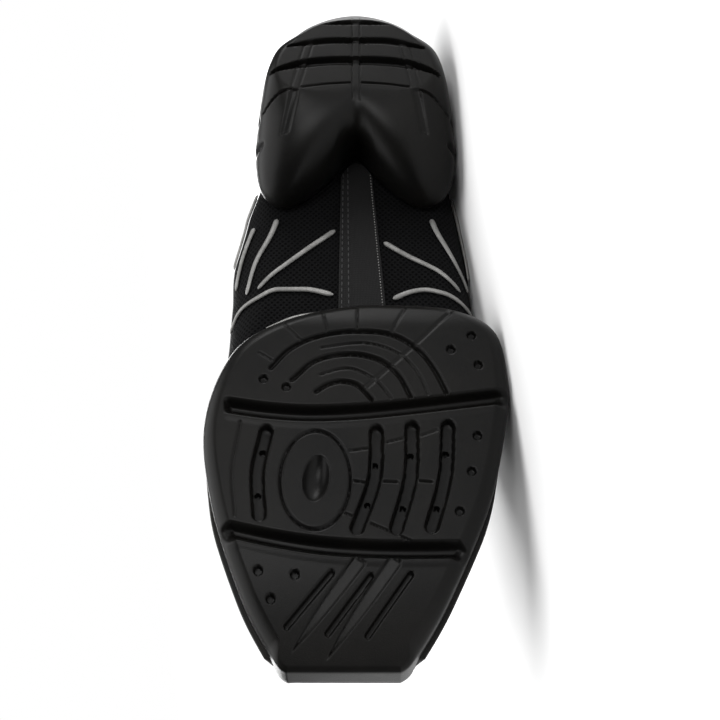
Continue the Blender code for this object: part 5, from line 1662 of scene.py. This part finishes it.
# Collar: a soft foam roll covered in brushed knit, turned over and sewn to the upper's top line. The seam
# gathers the knit a little, and the roll thins out at its two ends beside the throat.
COLLAR_FRONT = 0.355
CUFF_HEIGHT = 0.008
CUFF_THICKNESS = 0.0055
CUFF_SEAT = SEAT_GAP * 1.6
COLLAR_BLACK = (0.0085, 0.0085, 0.0092)
first_turn, last_turn = float(turn_of(COLLAR_FRONT, LATERAL)) - 2, float(turn_of(COLLAR_FRONT, MEDIAL))
count = 241
turns = np.linspace(first_turn, last_turn, count)
to_end = np.minimum(np.arange(count), count - 1 - np.arange(count)) / 30
size = 0.35 + 0.65 * end_rounding(np.minimum(1.0, to_end))
size = size * (0.02 + 0.98 * end_rounding(np.minimum(1.0, to_end / 0.16)))
edge = top_line(turns)
ahead = top_line(turns + 0.01) - top_line(turns - 0.01)
outward = unit(np.stack([ahead[:, 1], -ahead[:, 0], np.zeros(count)], axis=-1))
run = run_along(edge)
pucker = 1 + 0.030 * np.sin(run / 0.0058 + 1.2 * np.sin(run / 0.017))
upwards = np.array([0, 0, 1.0])
centre = edge - outward * WALL / 2 + upwards * (CUFF_SEAT + CUFF_HEIGHT * size / 2)[:, None]
angles = np.linspace(0, math.tau, 33)[:-1]
across = np.cos(angles)[None] * (CUFF_THICKNESS / 2 * size)[:, None]
up = np.sin(angles)[None] * (CUFF_HEIGHT / 2 * size)[:, None]
up = up - np.minimum(np.sin(angles), 0)[None] ** 2 * (CUFF_SEAT + 0.0005)
across = across * np.where(up > 0, pucker[:, None], 1.0)
loops = centre[:, None] + outward[:, None] * across[..., None] + upwards * up[..., None]
points = [centre[:1], *loops, centre[-1:]]
collar_cloth = lining_cloth("collar_cloth", COLLAR_BLACK)
collar = made("collar_roll", np.vstack(points), ring_faces(points), collar_cloth, sharp=80)
settle(collar, "lining_cloth", "collar")


# Eyelets: twelve small rings of black moulded plastic with a plain rolled face, six a side. Each is pressed
# through its eyestay and clenched behind it.
EYELET_PAIRS = 6
EYELET_RADIUS = 0.0035
EYELET_HOLE = 0.0018
EYELET_HEIGHT = 0.0008
EYELET_LEVEL = 0.915
EYELET_SPAN = (0.650, 0.462)
EYELET_BLACK = (0.011, 0.011, 0.0115)


def eyelet_tree():
    """One rolled ring at each point, turned to face out of the upper."""
    sizes = {
        "Ring radius": (EYELET_RADIUS + EYELET_HOLE) / 2,
        "Ring width": EYELET_RADIUS - EYELET_HOLE,
        "Height": EYELET_HEIGHT,
    }
    tree, given, out = new_tree("eyelet_rings", sizes)
    circle = {"Resolution": 40, "Radius": given["Ring radius"]}
    path = put(tree, "GeometryNodeCurvePrimitiveCircle", circle).outputs[0]
    half = maths(tree, "MULTIPLY", given["Ring width"], 0.5)
    circle = {"Resolution": 14, "Radius": half}
    profile = put(tree, "GeometryNodeCurvePrimitiveCircle", circle).outputs[0]
    ring = put(tree, "GeometryNodeCurveToMesh", {"Curve": path, "Profile Curve": profile}).outputs[0]
    flat = maths(tree, "DIVIDE", given["Height"], given["Ring width"])
    size = put(tree, "ShaderNodeCombineXYZ", {0: 1.0, 1: 1.0, 2: flat}).outputs[0]
    ring = put(tree, "GeometryNodeTransform", {"Geometry": ring, "Scale": size}).outputs[0]
    up = put(tree, "GeometryNodeInputNamedAttribute", {"Name": "up"}, data_type="FLOAT_VECTOR").outputs[0]
    turn = put(tree, "FunctionNodeAlignRotationToVector", {"Vector": up}, axis="Z").outputs[0]
    spots = put(tree, "GeometryNodeMeshToPoints", {"Mesh": given["Geometry"]}).outputs[0]
    rings = {"Points": spots, "Instance": ring, "Rotation": turn}
    close_tree(tree, put(tree, "GeometryNodeInstanceOnPoints", rings).outputs[0], given, out)
    return tree


def moulded(name, colour):
    """Satin moulded plastic with a faint flow pattern."""
    finish, tree, shader, place = new_finish(name)
    flow = noise(tree, place.outputs["Object"], 700.0, 3.0)
    shade = blend_colours(tree, flow, colour, tuple(1.5 * c for c in colour))
    tree.links.new(shade, shader.inputs["Base Color"])
    tree.links.new(maths(tree, "MULTIPLY_ADD", flow, 0.2, 0.22), shader.inputs["Roughness"])
    bumped(tree, shader, flow, 0.15, 0.0001)
    return finish


alongs = np.linspace(*EYELET_SPAN, EYELET_PAIRS)
eyelet_turns = np.concatenate([turn_of(alongs, MEDIAL), turn_of(alongs, LATERAL)])
stand = GAP * 2 + OVERLAY_THICKNESS + 0.0001 + EYELET_HEIGHT / 2
spots = lifted(eyelet_turns, EYELET_LEVEL, np.full(len(eyelet_turns), stand))
ups = skin_normal(eyelet_turns, EYELET_LEVEL)
places = [(spots[k : k + 1], ups[k : k + 1], 1.0) for k in range(len(spots))]
eyelet_plastic = moulded("eyelet_plastic", EYELET_BLACK)
eyelets = grown(path_object("eyelet_spots", places), eyelet_tree(), {}, eyelet_plastic, "eyelet_rings")
pairs = range(1, EYELET_PAIRS + 1)
settle(eyelets, "eyelet_ring", *(f"eyelet_{side}_{k}" for side in ("medial", "lateral") for k in pairs))


# Laces: flat braided polyester, in six straight bars over the tongue. Each bar bunches up where it goes down
# through its two eyelets.
LACE_WIDTH = 0.0065
LACE_THICKNESS = 0.0016
LACE_BLACK = (0.0105, 0.0105, 0.011)
STRAND_TWIST = 5200.0


def braid(name, colour):
    """Flat braid: two sets of fine strands crossing at a steep angle, with painted shade where the strands
    sink.
    """
    finish, tree, shader, place = new_finish(name)
    spot = put(tree, "ShaderNodeSeparateXYZ", {0: place.outputs["Object"]})
    run = put(tree, "ShaderNodeAttribute", attribute_name="run").outputs["Fac"]
    one, two = (
        maths(tree, "SINE", maths(tree, "MULTIPLY", maths(tree, way, run, spot.outputs["X"]), STRAND_TWIST))
        for way in ("ADD", "SUBTRACT")
    )
    strands = between(tree, maths(tree, "MULTIPLY", one, two), -0.9, 0.9)
    fuzz = noise(tree, place.outputs["Object"], 1900.0, 2.0)
    # Painted shade: the braid is coloured darker where the strands sink below their crossings.
    shade = blend_colours(tree, strands, tuple(0.45 * c for c in colour), colour)
    tree.links.new(shade, shader.inputs["Base Color"])
    shader.inputs["Roughness"].default_value = 0.72
    bumped(tree, shader, maths(tree, "MULTIPLY_ADD", fuzz, 0.4, strands), 0.6, 0.0003)
    return finish


lace_braid = braid("lace_braid", LACE_BLACK)
lift = OVERLAY_THICKNESS + 3 * GAP + EYELET_HEIGHT + GAP
for k, along in enumerate(alongs):
    left, right = float(turn_of(along, MEDIAL)), float(turn_of(along, LATERAL))
    half_way = (
        (EYELET_LEVEL, 0.0004, 0.50),
        (EYELET_LEVEL, 0.0018, 0.52),
        (EYELET_LEVEL + 0.004, lift + 0.0006, 0.58),
        (EYELET_LEVEL + 0.022, lift + 0.0010, 0.85),
        (0.965, lift * 0.97 + 0.0008, 1.0),
        (1.0, lift * 0.62 + 0.0008, 1.0),
    )
    knots = [(*lifted(left, t, np.array(height)), swell) for t, height, swell in half_way]
    knots += [(*lifted(right, t, np.array(height)), swell) for t, height, swell in half_way[::-1]]
    knots = np.array(knots, float)
    run = run_along(knots[:, :3])
    fine = curve(np.column_stack([run, knots]), np.linspace(0, run[-1], 121))
    line = fine[:, :3]
    across = skin(left + 0.01, 1.0) - skin(left - 0.01, 1.0)
    across = unit(across * np.array([1.0, 0.0, 1.0]))
    tangent = unit(np.gradient(line, axis=0))
    up = unit(np.cross(np.broadcast_to(across, tangent.shape), tangent))
    if up[60, 2] < 0:
        up = -up
    bar = grown(
        path_object(f"lace_line_{k + 1}", [(line, up, fine[:, 3])]),
        strips,
        {"Width": LACE_WIDTH, "Height": LACE_THICKNESS, "Sides": 18},
        lace_braid,
        f"lace_braid_{k + 1}",
    )
    settle(bar, "lace", f"lace_bar_{k + 1}")


# Camera: it keeps the photo's direction to the shoe, so it is rolled as the shoe is, and it looks a little
# down at the floor.
VIEW_TILT = math.radians(27)
VIEW_DISTANCE = 0.568
VIEW_CENTRE = np.array([0.159, -0.0013, 0.0])
VIEW_LENS = 84.25
ahead_of_view = np.array([-math.sin(VIEW_TILT), 0.0, math.cos(VIEW_TILT)])
up_in_view = np.array([-math.cos(VIEW_TILT), 0.0, -math.sin(VIEW_TILT)])
right_in_view = np.array([0.0, -1.0, 0.0])
camera_data = bpy.data.cameras.new("camera")
camera_data.sensor_width = 36.0
camera_data.lens = VIEW_LENS
camera_data.clip_start = 0.01
camera_data.clip_end = 100.0
camera = bpy.data.objects.new("camera", camera_data)
bpy.context.scene.collection.objects.link(camera)
spot = laid(VIEW_CENTRE - VIEW_DISTANCE * ahead_of_view)
columns = [turned(right_in_view), turned(up_in_view), -turned(ahead_of_view), spot]
camera.matrix_world = Matrix([*np.column_stack(columns).tolist(), [0, 0, 0, 1]])
bpy.context.scene.camera = camera


# Studio: a plain pale paper floor in an even pale surround, under one very broad light from above. Three
# soft boxes stand beyond the heel, in front of the sole and behind the upper, and draw a faint sheen on
# the black edges.
FLOOR_REACH = 30
FLOOR_WHITES = ((0.86, 0.86, 0.86), (0.90, 0.90, 0.90))
SURROUND_POWER = 0.08
OVERHEAD_POWER = 3.7
OVERHEAD_SPREAD = math.radians(80)
OVERHEAD_FROM = Vector((0.15, 0.05, 1.0))
# Each box's place, what it points at, its width and height in metres, and its power in watts
SOFT_BOXES = {
    "heel_box": ((0.75, -0.42, 0.16), (0.05, 0.0, 0.05), (0.5, 0.5), 4.4),
    "front_box": ((0.10, -1.15, 0.40), (0.05, 0.0, 0.04), (0.5, 0.4), 5.3),
    "back_box": ((0.35, 1.0, 0.25), (0.0, 0.0, 0.02), (1.0, 0.45), 10.0),
}
floor_mesh = bpy.data.meshes.new("floor")
floor_corners = [(FLOOR_REACH * x, FLOOR_REACH * y, 0) for x, y in ((-1, -1), (1, -1), (1, 1), (-1, 1))]
floor_mesh.from_pydata(floor_corners, [], [(0, 1, 2, 3)])
floor = bpy.data.objects.new("floor", floor_mesh)
bpy.context.scene.collection.objects.link(floor)
paper, tree, shader, place = new_finish("floor_paper")
mottled = noise(tree, place.outputs["Object"], 3.0, 2.0)
tree.links.new(blend_colours(tree, mottled, *FLOOR_WHITES), shader.inputs["Base Color"])
shader.inputs["Roughness"].default_value = 0.9
shader.inputs["Specular IOR Level"].default_value = 0.1
floor_mesh.materials.append(paper)

world = bpy.data.worlds.new("surround")
world.use_nodes = True
sky = world.node_tree
dim = sky.nodes["Background"]
dim.inputs["Color"].default_value = (1.0, 1.0, 1.0, 1.0)
dim.inputs["Strength"].default_value = SURROUND_POWER
bright = put(sky, "ShaderNodeBackground", {"Color": (1.0, 1.0, 1.0, 1.0), "Strength": 1.0})
seen = put(sky, "ShaderNodeLightPath").outputs["Is Camera Ray"]
both = put(sky, "ShaderNodeMixShader", {0: seen, 1: dim.outputs[0], 2: bright.outputs[0]})
sky.links.new(both.outputs[0], sky.nodes["World Output"].inputs["Surface"])
bpy.context.scene.world = world
bpy.context.scene.view_settings.view_transform = "Standard"


def soft_box(name, place, target, size, power):
    light = bpy.data.lights.new(name, "AREA")
    light.shape = "RECTANGLE"
    light.size, light.size_y = size
    light.energy = power
    box = bpy.data.objects.new(name, light)
    bpy.context.scene.collection.objects.link(box)
    box.location = place
    box.rotation_euler = (Vector(target) - Vector(place)).to_track_quat("-Z", "Y").to_euler()


overhead = bpy.data.lights.new("overhead", "SUN")
overhead.energy = OVERHEAD_POWER
overhead.angle = OVERHEAD_SPREAD
overhead_box = bpy.data.objects.new("overhead", overhead)
bpy.context.scene.collection.objects.link(overhead_box)
overhead_box.rotation_euler = OVERHEAD_FROM.to_track_quat("Z", "Y").to_euler()
for name, (place, target, size, power) in SOFT_BOXES.items():
    soft_box(name, place, target, size, power)
